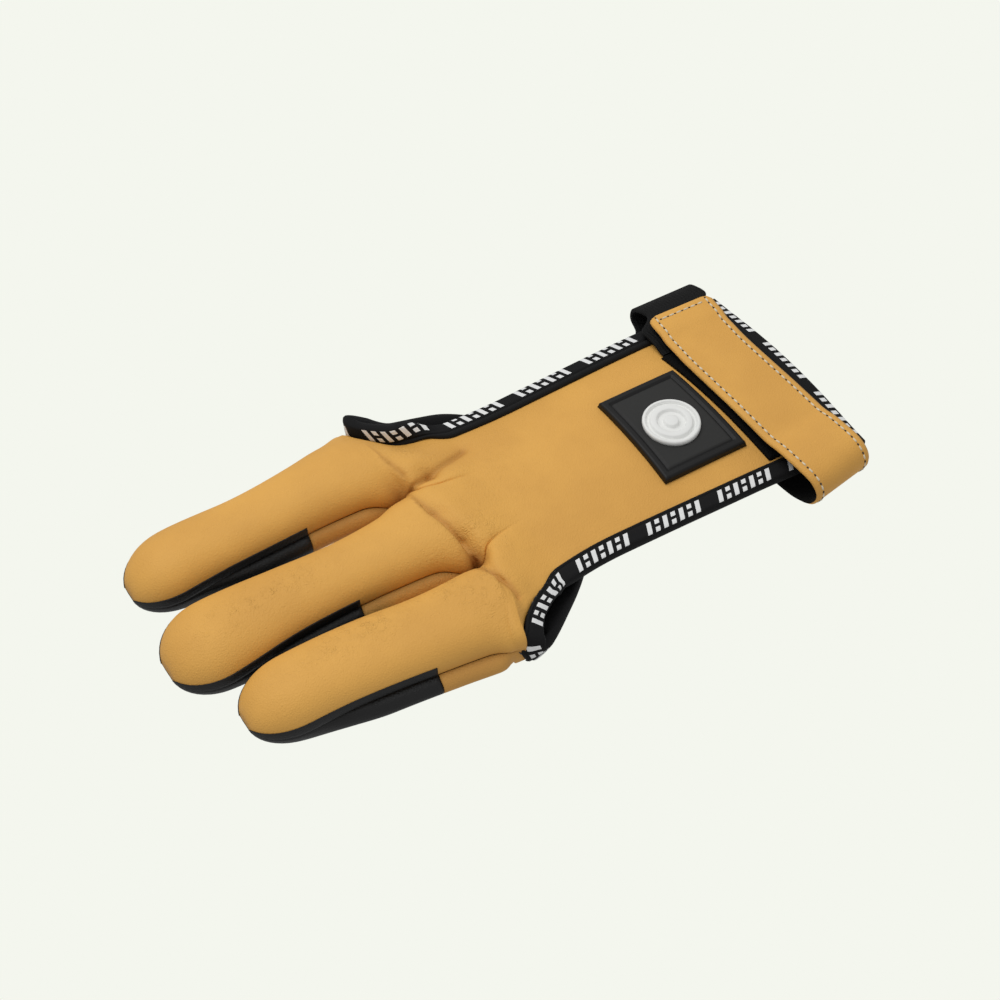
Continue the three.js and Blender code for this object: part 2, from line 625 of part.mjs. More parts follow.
const STRAP_FOLD = [
  { y: -0.31, height: 0.72, shift: 0.1, wide: 1, skew: 0.13 },
  { y: -0.365, height: 0.73, shift: 0.12, wide: 1, skew: 0.15 },
  { y: -0.42, height: 0.715, shift: 0.15, wide: 1, skew: 0.17 },
  { y: -0.458, height: 0.66, shift: 0.18, wide: 0.98, skew: 0.19 },
  { y: -0.48, height: 0.56, shift: 0.205, wide: 0.97, skew: 0.2 },
  { y: -0.487, height: 0.43, shift: 0.22, wide: 0.96, skew: 0.2 },
  { y: -0.476, height: 0.29, shift: 0.225, wide: 0.96, skew: 0.2 },
  { y: -0.45, height: 0.15, shift: 0.225, wide: 0.96, skew: 0.2 },
  { y: -0.415, height: 0.06, shift: 0.22, wide: 0.96, skew: 0.19 },
];
const STRAP_UNDER = [
  { y: -0.37, shift: 0.18, wide: 0.97, skew: 0.16 },
  { y: -0.29, shift: 0.13, wide: 0.98, skew: 0.1 },
  { y: -0.17, shift: 0.06, wide: 1, skew: 0.04 },
];
const JOIN_Y = -0.025;

const overBack = (row, level) => {
  const x = STRAP_X + (0.5 + row.shift) * STRAP_WIDTH;
  const y = row.y * STRAP_SPAN;
  const z = backHeight(x, Math.max(-0.9 * 0.7 * HALF, Math.min(0.7 * HALF, y))) + level;
  return { x, y, z: z + row.lift * STRAP_HEIGHT, rest: 1, wide: row.wide, skew: row.skew };
};
const inAir = (row, z) => ({
  x: STRAP_X + (0.5 + row.shift) * STRAP_WIDTH,
  y: row.y * STRAP_SPAN,
  z,
  rest: 0,
  wide: row.wide,
  skew: row.skew,
});
const strapPath = [
  ...STRAP_TOP.map((row) => overBack(row, STRAP_LEVEL)),
  ...STRAP_FOLD.map((row) => inAir(row, row.height * STRAP_HEIGHT)),
  ...STRAP_UNDER.map((row) => inAir(row, LEATHER / 2)),
  inAir({ y: JOIN_Y - GAP / STRAP_SPAN, shift: 0.02 }, LEATHER / 2),
];
const hookPath = STRAP_TOP.map((row, i) => {
  const end = i === 0 ? -0.012 : 0;
  return overBack({ ...row, y: row.y + end }, HOOK_LEVEL);
});

// Elastic from beside the pile patch over the far binding, round the far fold and under the wrist
const ELASTIC_TOP = [
  { y: 0.268, lift: 0 },
  { y: 0.292, lift: 0.005 },
  { y: 0.318, lift: 0.05 },
  { y: 0.36, lift: 0.07 },
  { y: 0.405, lift: 0.075 },
];
const ELASTIC_FOLD = [
  { y: 0.46, height: 0.52 },
  { y: 0.515, height: 0.46 },
  { y: 0.553, height: 0.36 },
  { y: 0.568, height: 0.24 },
  { y: 0.56, height: 0.13 },
  { y: 0.53, height: 0.05 },
];
const ELASTIC_UNDER = [0.48, 0.3, 0.12, JOIN_Y];
const elasticPath = [
  ...ELASTIC_TOP.map((row) => overBack({ ...row, shift: -0.13, wide: 0.93 }, GAP + BAND_THICKNESS / 2)),
  ...ELASTIC_FOLD.map(({ y, height }) => inAir({ y, shift: 0.07, wide: 0.95 }, height * STRAP_HEIGHT)),
  ...ELASTIC_UNDER.map((y) => inAir({ y, shift: 0.02 }, BAND_THICKNESS / 2)),
];

// Raised target: a round disc with two ring grooves, on top of the label
const TARGET_PROFILE = [
  { radius: 0.24, high: 1 }, { radius: 0.3, high: 0.4 }, { radius: 0.46, high: 0.4 },
  { radius: 0.52, high: 1 }, { radius: 0.7, high: 1 }, { radius: 0.76, high: 0.4 },
  { radius: 0.84, high: 0.4 }, { radius: 0.9, high: 1 }, { radius: 0.97, high: 1 },
  { radius: 1, high: 0.8 }, { radius: 1, high: 0 },
];
const LABEL_X = 0.642 * HAND_LENGTH;
const LABEL_Y = -0.04 * HALF;
const EMBLEM_X = 0.637 * HAND_LENGTH;
const EMBLEM_Y = -0.065 * HALF;

function target() {
  const around = 28;
  const points = [];
  const place = (radius, angle, high) => {
    const x = EMBLEM_X + radius * Math.cos(angle);
    const y = EMBLEM_Y + radius * Math.sin(angle);
    const z = backHeight(x, y) + GAP + LABEL_THICKNESS + GAP + high * EMBLEM_HEIGHT;
    return points.push(new THREE.Vector3(x, y, z)) - 1;
  };
  const top = place(0, 0, 1);
  const base = place(0, 0, 0);
  const rings = TARGET_PROFILE.map(({ radius, high }) => steps(0, 1, around).slice(0, around).map((t) => (
    place(radius * EMBLEM_RADIUS, 2 * Math.PI * t, high)
  )));
  const faces = [];
  for (let j = 0; j < around; j += 1) {
    const k = (j + 1) % around;
    faces.push([top, rings[0][j], rings[0][k]]);
    for (let i = 0; i + 1 < rings.length; i += 1) {
      faces.push([rings[i][j], rings[i + 1][j], rings[i + 1][k]]);
      faces.push([rings[i][j], rings[i + 1][k], rings[i][k]]);
    }
    const rim = rings[rings.length - 1];
    faces.push([base, rim[k], rim[j]]);
  }
  return meshData(points, faces);
}

// Pieces, gathered and set down with the middle of their box over the origin
const PILE_START = 0.767 * HAND_LENGTH;
const PILE_END = 0.99 * HAND_LENGTH - EDGE - 4 * GAP;
const PILE_FAR = 0.26 * STRAP_SPAN;
const PILE_NEAR = -0.665 * HALF + EDGE + 2 * GAP;
const wristBinding = cleared(binding(wristEnds(edgeStations(wristRun(), -1)), sheets));
const pieces = [
  ['back_panel', back.solid(0, LEATHER), 0xd3a157],
  ['palm_panel', palm.solid(0, LEATHER), 0xc08f4b],
  ...FINGERS.map(({ name }, i) => [`${name}_guard`, guards[i].solid(0, LEATHER), 0x232326]),
  ['near_binding', nearBinding, 0x26262a],
  ['far_binding', farBinding, 0x26262a],
  ['wrist_binding', wristBinding, 0x26262a],
  ['loop_patch', patch({
    x: (PILE_START + PILE_END) / 2,
    y: (PILE_FAR + PILE_NEAR) / 2,
    length: PILE_END - PILE_START,
    width: PILE_FAR - PILE_NEAR,
    slant: 0.1,
    above: GAP,
    thickness: BACKING,
    nx: 4,
    ny: 12,
  }), 0x1d1d20],
  ['wrist_strap', band(strapPath, STRAP_WIDTH, LEATHER), 0xd3a157],
  ['hook_backing', band(hookPath, STRAP_WIDTH - 1, BACKING), 0x1d1d20],
  ['elastic_band', band(elasticPath, STRAP_WIDTH, BAND_THICKNESS), 0x202023],
  ['label_patch', patch({
    x: LABEL_X,
    y: LABEL_Y,
    length: LABEL_LENGTH,
    width: LABEL_WIDTH,
    turn: 0.03,
    above: GAP,
    thickness: LABEL_THICKNESS,
    nx: 6,
    ny: 8,
    inset: 0.5,
  }), 0x343436],
  ['label_emblem', target(), 0xe6e6e1],
];

const glove = new THREE.Group();
glove.name = 'archery_glove';
const box = new THREE.Box3();
for (const [, { points }] of pieces) for (const point of points) box.expandByPoint(point);
const centre = box.getCenter(new THREE.Vector3());
for (const [name, { points, faces }, color] of pieces) {
  const geometry = new THREE.BufferGeometry();
  const flat = points.flatMap((p) => [p.x - centre.x, p.y - centre.y, p.z - box.min.z]);
  geometry.setAttribute('position', new THREE.Float32BufferAttribute(flat, 3));
  geometry.setIndex(faces.flat());
  geometry.computeVertexNormals();
  const material = new THREE.MeshStandardMaterial({ color, roughness: 0.7 });
  const mesh = new THREE.Mesh(geometry, material);
  mesh.name = name;
  glove.add(mesh);
}

export default glove;
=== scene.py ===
# Three-finger archery glove lying back up: x runs to the wrist, y to the far side, z up
import functools
import math

import bmesh
import bpy
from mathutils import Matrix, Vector
from mathutils.bvhtree import BVHTree


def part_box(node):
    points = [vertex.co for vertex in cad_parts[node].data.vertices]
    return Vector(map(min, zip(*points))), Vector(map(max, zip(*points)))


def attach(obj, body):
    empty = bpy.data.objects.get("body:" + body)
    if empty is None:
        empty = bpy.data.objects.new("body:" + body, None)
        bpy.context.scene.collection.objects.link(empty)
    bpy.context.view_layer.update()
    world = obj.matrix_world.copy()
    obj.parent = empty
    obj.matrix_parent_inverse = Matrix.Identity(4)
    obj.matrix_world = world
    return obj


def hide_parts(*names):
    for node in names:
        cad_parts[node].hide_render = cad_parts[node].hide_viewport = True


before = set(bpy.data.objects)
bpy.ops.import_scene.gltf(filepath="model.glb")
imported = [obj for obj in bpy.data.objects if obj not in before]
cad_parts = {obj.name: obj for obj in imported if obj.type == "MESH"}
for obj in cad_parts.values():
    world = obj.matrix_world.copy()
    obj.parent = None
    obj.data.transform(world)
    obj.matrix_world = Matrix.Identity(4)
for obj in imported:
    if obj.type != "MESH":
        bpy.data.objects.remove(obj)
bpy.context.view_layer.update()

# Main sizes, in mm
FINGER_LENGTH = 79
FINGER_WIDTH = 22
FINGER_HEIGHT = 17
SEAM_HEIGHT = 9
TIP_LENGTH = 14
HAND_LENGTH = 117
HAND_WIDTH = 88
BACK_HEIGHT = 15
PALM_LENGTH = 47
LEATHER = 1.3
GAP = 0.3
TAPE = 1
BINDING_WIDTH = 6.6
STRAP_WIDTH = 21
STRAP_SPAN = 80
STRAP_HEIGHT = 20
BAND_THICKNESS = 1.2
BACKING = 1
LABEL_LENGTH = 26
LABEL_WIDTH = 32.5
LABEL_THICKNESS = 1.6
EMBLEM_RADIUS = 8
EMBLEM_HEIGHT = 0.9

# Derived sizes
PITCH = HAND_WIDTH / 3
HALF = HAND_WIDTH / 2
COLS = 8
ALL_COLS = 3 * COLS
EDGE = BINDING_WIDTH - GAP - TAPE - 0.6
STRAP_X = 0.777 * HAND_LENGTH
LABEL_X = 0.642 * HAND_LENGTH
LABEL_Y = -0.04 * HALF
LABEL_TURN = 0.03
EMBLEM_X = 0.637 * HAND_LENGTH
EMBLEM_Y = -0.065 * HALF

# Mesh steps in mm, columns to a column of the tables, and rows at a fingertip
FINE = 0.45
COARSE = 0.95
KNUCKLE_END = 24
DENSE = 8
TIP_ROWS = [0.004, 0.008, 0.016, 0.026, 0.038, 0.053, 0.07, 0.09]
WEB_START = 0.86
MM = 0.001


def table(columns, *rows):
    """Rows of a table as dictionaries, numbered under "row"."""
    names = columns.split()
    return [dict(zip(names, row), row=i) for i, row in enumerate(rows)]


# Fingers from the far side: sections at a share of the length, centre as a share of PITCH,
# half as a share of half FINGER_WIDTH
FINGERS = [
    dict(name="ring", slot=1, length=0.95, guard=0.665, sections=table(
        "at centre half",
        (0, 0.84, 0.93), (0.2, 0.868, 0.955), (0.5, 0.885, 0.89),
        (0.75, 0.94, 0.95), (0.92, 0.985, 1.07), (1, 1, 1.1))),
    dict(name="middle", slot=0, length=0.985, guard=0.63, sections=table(
        "at centre half",
        (0, -0.105, 1.16), (0.2, -0.08, 1.14), (0.45, -0.05, 0.97),
        (0.7, -0.045, 0.9), (0.92, -0.02, 1.01), (1, 0, 1.1))),
    dict(name="index", slot=-1, length=0.865, guard=0.685, sections=table(
        "at centre half",
        (0, -0.925, 1), (0.2, -0.93, 1.02), (0.5, -0.95, 1.05),
        (0.75, -1, 1.06), (0.92, -1.01, 1.14), (1, -1, 1.2))),
]

# Back of the hand: x as shares of HAND_LENGTH at the middle, far and near edge, y as shares of
# HALF, z of the edges as shares of SEAM_HEIGHT and of the crown as shares of BACK_HEIGHT
BACK = table(
    "mid farX farY farZ nearX nearY nearZ crown",
    (0.013, -0.03, 1, 1, 0.017, -1, 1, 1.07),
    (0.03, -0.012, 1, 1, 0.05, -1.014, 1, 1.06),
    (0.048, 0.012, 0.9, 1.03, 0.06, -0.955, 1.04, 1.04),
    (0.068, 0.042, 0.825, 1.06, 0.074, -0.885, 1.06, 1.01),
    (0.09, 0.075, 0.77, 1.08, 0.094, -0.835, 1.07, 0.98),
    (0.116, 0.11, 0.733, 1.08, 0.122, -0.788, 1.07, 0.955),
    (0.147, 0.152, 0.71, 1.08, 0.157, -0.749, 1.07, 0.935),
    (0.19, 0.198, 0.7, 1.07, 0.203, -0.715, 1.06, 0.915),
    (0.25, 0.257, 0.694, 1.06, 0.262, -0.688, 1.05, 0.9),
    (0.325, 0.33, 0.696, 1.05, 0.33, -0.672, 1.04, 0.885),
    (0.42, 0.42, 0.71, 1.03, 0.42, -0.667, 1.02, 0.87),
    (0.53, 0.53, 0.728, 1.01, 0.53, -0.665, 1, 0.85),
    (0.64, 0.64, 0.745, 0.99, 0.64, -0.665, 0.98, 0.83),
    (0.75, 0.745, 0.757, 0.97, 0.75, -0.665, 0.96, 0.8),
    (0.85, 0.84, 0.757, 0.94, 0.855, -0.67, 0.93, 0.77),
    (0.925, 0.91, 0.762, 0.92, 0.935, -0.675, 0.91, 0.745),
    (0.99, 0.972, 0.762, 0.9, 1.008, -0.675, 0.89, 0.725))

# Palm side in the same columns, x as shares of PALM_LENGTH; floor is the height of its middle
PALM = table(
    "mid farX farY farZ nearX nearY nearZ floor",
    (0.033, -0.075, 1, 1, 0.043, -1, 1, 0),
    (0.075, -0.03, 1, 1, 0.124, -1.014, 1, 0),
    (0.13, 0.05, 1.01, 0.95, 0.18, -1.02, 0.7, 0),
    (0.19, 0.15, 0.98, 0.92, 0.255, -0.98, 0.45, 0),
    (0.27, 0.27, 0.925, 0.9, 0.34, -0.905, 0.35, 0),
    (0.37, 0.4, 0.87, 0.88, 0.44, -0.81, 0.33, 0),
    (0.5, 0.54, 0.81, 0.85, 0.55, -0.71, 0.32, 0),
    (0.67, 0.68, 0.735, 0.66, 0.66, -0.6, 0.31, 0.03),
    (0.84, 0.79, 0.62, 0.44, 0.765, -0.47, 0.3, 0.16),
    (1, 0.94, 0.5, 0.33, 0.92, -0.36, 0.3, 0.29))

# Folds of the back: ends as shares of HAND_LENGTH and HALF, depth of LEATHER, reach of PITCH
FOLDS = table(
    "x0 y0 x1 y1 depth reach",
    (-0.01, 0.3, 0.08, 0.33, 1.3, 0.09),
    (0.08, 0.33, 0.19, 0.45, 0.8, 0.12),
    (0.02, 0.4, -0.01, 0.78, 0.6, 0.09),
    (-0.005, 0.24, 0.02, 0.02, 1.3, 0.1),
    (0.02, 0.02, 0.04, -0.2, 1.2, 0.1),
    (0.04, -0.2, 0.032, -0.4, 1.2, 0.1),
    (0.03, -0.44, 0.079, -0.75, 1, 0.09),
    (0.045, 0.25, 0.12, 0.24, -0.5, 0.12))

# Strap from its far tip over the back: y as shares of STRAP_SPAN, lift above the stack as a
# share of STRAP_HEIGHT, shift as a share of STRAP_WIDTH, skew as a slope in plan
STRAP_TOP = table(
    "y lift shift skew",
    (0.415, 0.085, -0.03, 0), (0.37, 0.085, -0.045, 0), (0.325, 0.075, -0.055, 0),
    (0.29, 0.035, -0.065, 0.01), (0.24, 0.012, -0.065, 0.02), (0.16, 0, -0.07, 0.03),
    (0.04, 0, -0.045, 0.05), (-0.08, 0.005, 0, 0.07), (-0.18, 0.02, 0.04, 0.09),
    (-0.255, 0.035, 0.075, 0.11))
STRAP_FOLD = table(
    "y height shift wide skew",
    (-0.31, 0.72, 0.1, 1, 0.13), (-0.365, 0.73, 0.12, 1, 0.15), (-0.42, 0.715, 0.15, 1, 0.17),
    (-0.458, 0.66, 0.18, 0.98, 0.19), (-0.48, 0.56, 0.205, 0.97, 0.2),
    (-0.487, 0.43, 0.22, 0.96, 0.2), (-0.476, 0.29, 0.225, 0.96, 0.2),
    (-0.45, 0.15, 0.225, 0.96, 0.2), (-0.415, 0.06, 0.22, 0.96, 0.19))
STRAP_UNDER = table(
    "y shift wide skew",
    (-0.37, 0.18, 0.97, 0.16), (-0.29, 0.13, 0.98, 0.1), (-0.17, 0.06, 1, 0.04))
JOIN_Y = -0.025
ELASTIC_TOP = table(
    "y lift", (0.268, 0), (0.292, 0.005), (0.318, 0.05), (0.36, 0.07), (0.405, 0.075))
ELASTIC_FOLD = table(
    "y height", (0.46, 0.52), (0.515, 0.46), (0.553, 0.36), (0.568, 0.24), (0.56, 0.13),
    (0.53, 0.05))


# Pulls on the leather, in mm: the place, the way it is drawn, and the reach of the pull
CROTCHES = table(
    "x y dx dy dz reach",
    (-1.7, 14.7, 2, 0.2, -2.8, 4.6),
    (4.3, -14.7, 2, -1, -2.8, 4.6))
NOTCHES = table(
    "x y dx dy dz reach",
    (-1, 42, 0, -0.6, -2.8, 8),
    (9, 33, 0, 0, -3.8, 8),
    (7, -42, -2.8, 0, -0.6, 8),
    (14, -34, -1.2, 0.4, 0, 5))


def clamp(t):
    return min(1.0, max(0.0, t))


def smooth(t):
    return clamp(t) ** 2 * (3 - 2 * clamp(t))


def mix(a, b, t):
    return a + (b - a) * t


def bow(t, power):
    return max(0.0, 1 - abs(t) ** power) ** (1 / power)


def rounded(distance, length, power):
    return bow(1 - clamp(distance / length), power)


def curve(rows, key, column, at):
    """Smooth curve through one column of a table, at a given value of its key column."""
    i = 0
    while i < len(rows) - 2 and at > rows[i + 1][key]:
        i += 1

    def slope(a, b):
        return (b[column] - a[column]) / (b[key] - a[key])

    p, q = rows[i], rows[i + 1]
    span = q[key] - p[key]
    here = slope(p, q)
    before = (slope(rows[i - 1], p) + here) / 2 if i > 0 else here
    after = (here + slope(q, rows[i + 2])) / 2 if i < len(rows) - 2 else here
    t = clamp((at - p[key]) / span)
    bend = (before - here) * (1 - t) - (after - here) * t
    return mix(p[column], q[column], t) + span * t * (1 - t) * bend


def reader(rows, key):
    """A remembered look-up of the curves through a table: (column, value of the key column)."""
    return functools.lru_cache(None)(lambda column, at: curve(rows, key, column, at))


back_at, palm_at, plain_at = reader(BACK, "row"), reader(PALM, "row"), reader(BACK, "mid")
section_at = {finger["slot"]: reader(finger["sections"], "at") for finger in FINGERS}


def arch_share(v):
    return max(0.0, 1 - abs(v) ** 2.2) ** 1.5


def hand_plan(at, length, row, col, reach):
    """Plan place and edge height; s across the finger, v across the hand, far 1 to near -1."""
    finger = min(2, math.floor(col / COLS))
    q = smooth(at("mid", row) * length / (reach * HAND_LENGTH))
    even = 1 - 2 * (col / COLS - finger)
    s = mix(math.sin(even * math.pi / 2), even, q)
    v = (2 * (1 - finger) + s) / 3
    mid, far, near = at("mid", row), at("farX", row), at("nearX", row)
    skew = -0.06 * HAND_LENGTH * v * (1 - v * v) * math.exp(-0.6 * row)
    x = length * (mid + (far - near) / 2 * v + ((far + near) / 2 - mid) * v * v) + skew
    y = HALF * mix(at("nearY", row), at("farY", row), (v + 1) / 2)
    edge = SEAM_HEIGHT * mix(at("nearZ", row), at("farZ", row), (v + 1) / 2)
    return x, y, edge, s, v, q


def fold_depth(x, y, narrow=1.0):
    """How deep the folds are at a place of the back; narrow keeps only their valley floors."""
    depth = 0.0
    for fold in FOLDS:
        ax, ay = fold["x0"] * HAND_LENGTH, fold["y0"] * HALF
        dx, dy = fold["x1"] * HAND_LENGTH - ax, fold["y1"] * HALF - ay
        t = clamp(((x - ax) * dx + (y - ay) * dy) / (dx * dx + dy * dy))
        away = math.hypot(x - ax - t * dx, y - ay - t * dy) / (fold["reach"] * PITCH * narrow)
        depth += fold["depth"] * LEATHER * math.exp(-away * away)
    return depth


def back_point(row, col):
    x, y, edge, s, v, q = hand_plan(back_at, HAND_LENGTH, row, col, 0.2)
    edge += GAP / 2
    behind = bow(v, 4) if row > 0 else 0
    valley = 0.45 * behind * rounded(x, 0.22 * PITCH, 2.2)
    lobe = (FINGER_HEIGHT - SEAM_HEIGHT) * mix(valley, 1, bow(s, 2.3))
    arch = (BACK_HEIGHT * back_at("crown", row) - edge) * arch_share(v)
    depth = behind * clamp(x / PITCH * 6 - 0.2) * fold_depth(x, y)
    return Vector((x, y, edge + mix(lobe, arch, q) - depth))


def pulled(co):
    """Where a place of the leather lies once the crotches and notches are drawn in."""
    moved = Vector(co)
    for pull in CROTCHES + NOTCHES:
        away = math.hypot(co.x - pull["x"], co.y - pull["y"]) / pull["reach"]
        moved += Vector((pull["dx"], pull["dy"], pull["dz"])) * math.exp(-away * away)
    moved.z = max(moved.z, min(co.z, 0.2))
    return moved


def back_height(x, y):
    """Height of the back's plain part behind the knuckles."""
    far, near = plain_at("farY", x / HAND_LENGTH), plain_at("nearY", x / HAND_LENGTH)
    v = (2 * y / HALF - far - near) / (far - near)
    far, near = plain_at("farZ", x / HAND_LENGTH), plain_at("nearZ", x / HAND_LENGTH)
    edge = SEAM_HEIGHT * mix(near, far, (v + 1) / 2) + GAP / 2
    return edge + (BACK_HEIGHT * plain_at("crown", x / HAND_LENGTH) - edge) * arch_share(v)


def palm_point(row, col):
    x, y, edge, s, v, q = hand_plan(palm_at, PALM_LENGTH, row, col, 0.11)
    edge -= GAP / 2
    drop = 0.65 * bow(v, 4) * rounded(x, 0.22 * PITCH, 2.2) if row > 0 else 0
    lobe = edge * (1 - bow(s, 3.2)) * (1 - drop)
    floor = SEAM_HEIGHT * palm_at("floor", row)
    return Vector((x, y, mix(lobe, floor + max(0, edge - floor) * abs(v) ** 3, q)))


def finger_point(finger, at, col, above):
    """Outer surface of a finger, above or below its seam."""
    slot = finger["slot"]
    reach = finger["length"] * FINGER_LENGTH
    base = (back_point if above else palm_point)(0, (1 - slot) * COLS + col)
    if at == 1:
        return base
    s = math.sin((1 - 2 * col / COLS) * math.pi / 2)
    web = smooth((at - WEB_START) / (1 - WEB_START)) ** 2
    half = mix(section_at[slot]("half", at) * FINGER_WIDTH / 2, PITCH / 2, web)
    centre = section_at[slot]("centre", at) * PITCH
    seam = SEAM_HEIGHT * mix(0.72, 1, smooth(at / 0.4))
    x = mix(-reach, base.x, at)
    wall = min(1, 1.05 * bow(s, 3.2))
    out = 1.1 * wall * (1 - wall) * smooth((at - 0.15) / 0.35) * (1 - web)
    bulge = 0 if above else out - 0.14 * wall * (1 - smooth(at / 0.35))
    y = centre + half * rounded(at * reach, TIP_LENGTH, 2.2) * s * (1 + bulge)
    inward = rounded((at - TIP_ROWS[0]) * reach, 1.3 * TIP_LENGTH, 2.2)
    rise = (FINGER_HEIGHT - seam) * inward * bow(s, 2.3)
    drop = (seam - GAP / 2) * inward * wall
    return Vector((x, y, seam + GAP / 2 + rise if above else seam - GAP / 2 - drop))


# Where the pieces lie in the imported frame
emblem_low, emblem_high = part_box("label_emblem")
SHIFT = Vector((
    (emblem_low.x + emblem_high.x) / 2 / MM - EMBLEM_X,
    (emblem_low.y + emblem_high.y) / 2 / MM - EMBLEM_Y,
    0))


def linked(name, data):
    """A new object in the scene."""
    obj = bpy.data.objects.new(name, data)
    bpy.context.scene.collection.objects.link(obj)
    return obj


def piece(name, bm, material, *nodes, slot, wall=0, inner=None):
    """A finished piece from a bmesh in mm, moved into the frame and standing for its nodes."""
    mesh = bpy.data.meshes.new(name)
    bmesh.ops.translate(bm, verts=bm.verts, vec=SHIFT)
    bmesh.ops.scale(bm, verts=bm.verts, vec=(MM, MM, MM))
    for face in bm.faces:
        face.smooth = True
    bm.to_mesh(mesh)
    bm.free()
    obj = linked(name, mesh)
    mesh.materials.append(material)
    mesh.materials.append(inner or material)
    if wall:
        shell = obj.modifiers.new("wall", "SOLIDIFY")
        shell.thickness = wall * MM
        shell.offset = -1
        shell.material_offset = 1
        shell.use_rim = True
    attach(obj, "root")
    if nodes:
        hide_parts(*nodes)


def grid(bm, rows, cols, place):
    """A grid of rows by cols faces, each corner moved to place(i, j)."""
    made = bmesh.ops.create_grid(bm, x_segments=rows, y_segments=cols, size=1)["verts"]
    spots = {}
    for vert in made:
        i, j = round((vert.co.x + 1) / 2 * rows), round((vert.co.y + 1) / 2 * cols)
        spots[i, j] = vert
        vert.co = place(i, j)
    return spots


def merged(bm, distance):
    """Merges doubles and makes the faces agree."""
    bmesh.ops.remove_doubles(bm, verts=bm.verts, dist=distance)
    bmesh.ops.recalc_face_normals(bm, faces=bm.faces)
    bm.normal_update()


def faced(bm, up):
    """Merges an open sheet's doubles and turns its faces up (1) or down (-1)."""
    merged(bm, 0.01)
    if sum(f.normal.z * f.calc_area() for f in bm.faces) * up < 0:
        bmesh.ops.reverse_faces(bm, faces=bm.faces)
    bm.normal_update()


def spaced(a, b, length, step):
    """Values after a up to b, close enough together for a step in mm over a length in mm."""
    count = max(1, round(length / step))
    return [mix(a, b, k / count) for k in range(1, count + 1)]


def hand_grid(bm, at, length, point, count):
    """The hand's part of a panel, from its first row to its last and over all its columns."""
    rows = [0]
    for i in range(count - 1):
        gap = length * (at("mid", i + 1) - at("mid", i))
        rows += spaced(i, i + 1, gap, FINE if at("mid", i) * length < KNUCKLE_END else COARSE)
    grid(bm, len(rows) - 1, ALL_COLS * DENSE, lambda i, j: point(rows[i], j / DENSE))


def finger_rows(finger, start, end):
    """Shares of a finger's length, closer together at its tip and its knuckle."""
    reach = finger["length"] * FINGER_LENGTH
    ats = TIP_ROWS if start == TIP_ROWS[0] else [start]
    knuckle = min(end, WEB_START)
    ats = ats + spaced(ats[-1], knuckle, (knuckle - ats[-1]) * reach, COARSE)
    if end > knuckle:
        ats += spaced(knuckle, end, (end - knuckle) * reach, FINE)
    return ats


def finger_grid(bm, finger, start, end, above, dense, cols=(0, COLS)):
    """Part of a finger's surface, between two shares of its length and two columns."""
    ats = finger_rows(finger, start, end)
    count = max(2, round((cols[1] - cols[0]) * dense))
    grid(bm, len(ats) - 1, count, lambda i, j: finger_point(
        finger, ats[i], mix(*cols, j / count), above))


# ---- Shader writing ----
def operator(name):
    return lambda self, other: self.math(name, self, other)


class Wire:
    """A shader value: operators on it add Math nodes."""

    def __init__(self, tree, socket):
        self.tree = tree
        self.socket = socket

    def math(self, operation, *values):
        return node(self.tree, "Math", {"operation": operation}, *values)

    __add__ = __radd__ = operator("ADD")
    __sub__ = operator("SUBTRACT")
    __mul__ = operator("MULTIPLY")
    __truediv__ = operator("DIVIDE")
    __gt__ = operator("GREATER_THAN")
    __lt__ = operator("LESS_THAN")

    def __rsub__(self, other):
        return self.math("SUBTRACT", other, self)

    def __abs__(self):
        return self.math("ABSOLUTE", self)

    def wave(self, period):
        return self.math("SINE", self * (2 * math.pi / period))

    def floor(self):
        return self.math("FLOOR", self)

    def wrap(self, period):
        return self.math("WRAP", self, period, 0)

    def step(self, low, high):
        settings = {"interpolation_type": "SMOOTHSTEP"}
        return node(self.tree, "MapRange", settings, self, low, high, 0, 1)


def feed(tree, socket, value):
    """Links a shader value to a socket, or sets a number or a colour on it."""
    if isinstance(value, Wire):
        tree.links.new(value.socket, socket)
    elif value is not None:
        socket.default_value = value


def node(tree, kind, settings=None, *values, out=0, **named):
    """Adds a shader node: settings, then its inputs in order or by name; returns one output."""
    made = tree.nodes.new("ShaderNode" + kind)
    for key, value in (settings or {}).items():
        setattr(made, key, value)
    inputs = [(made.inputs[i], value) for i, value in enumerate(values)]
    inputs += [(made.inputs[key.replace("_", " ")], value) for key, value in named.items()]
    for socket, value in inputs:
        feed(tree, socket, value)
    return Wire(tree, made.outputs[out])


def color(*screen):
    """Linear colour from 0 to 255 screen values."""
    parts = [((v / 255 + 0.055) / 1.055) ** 2.4 if v > 10 else v / 3295 for v in screen]
    return (*parts, 1)


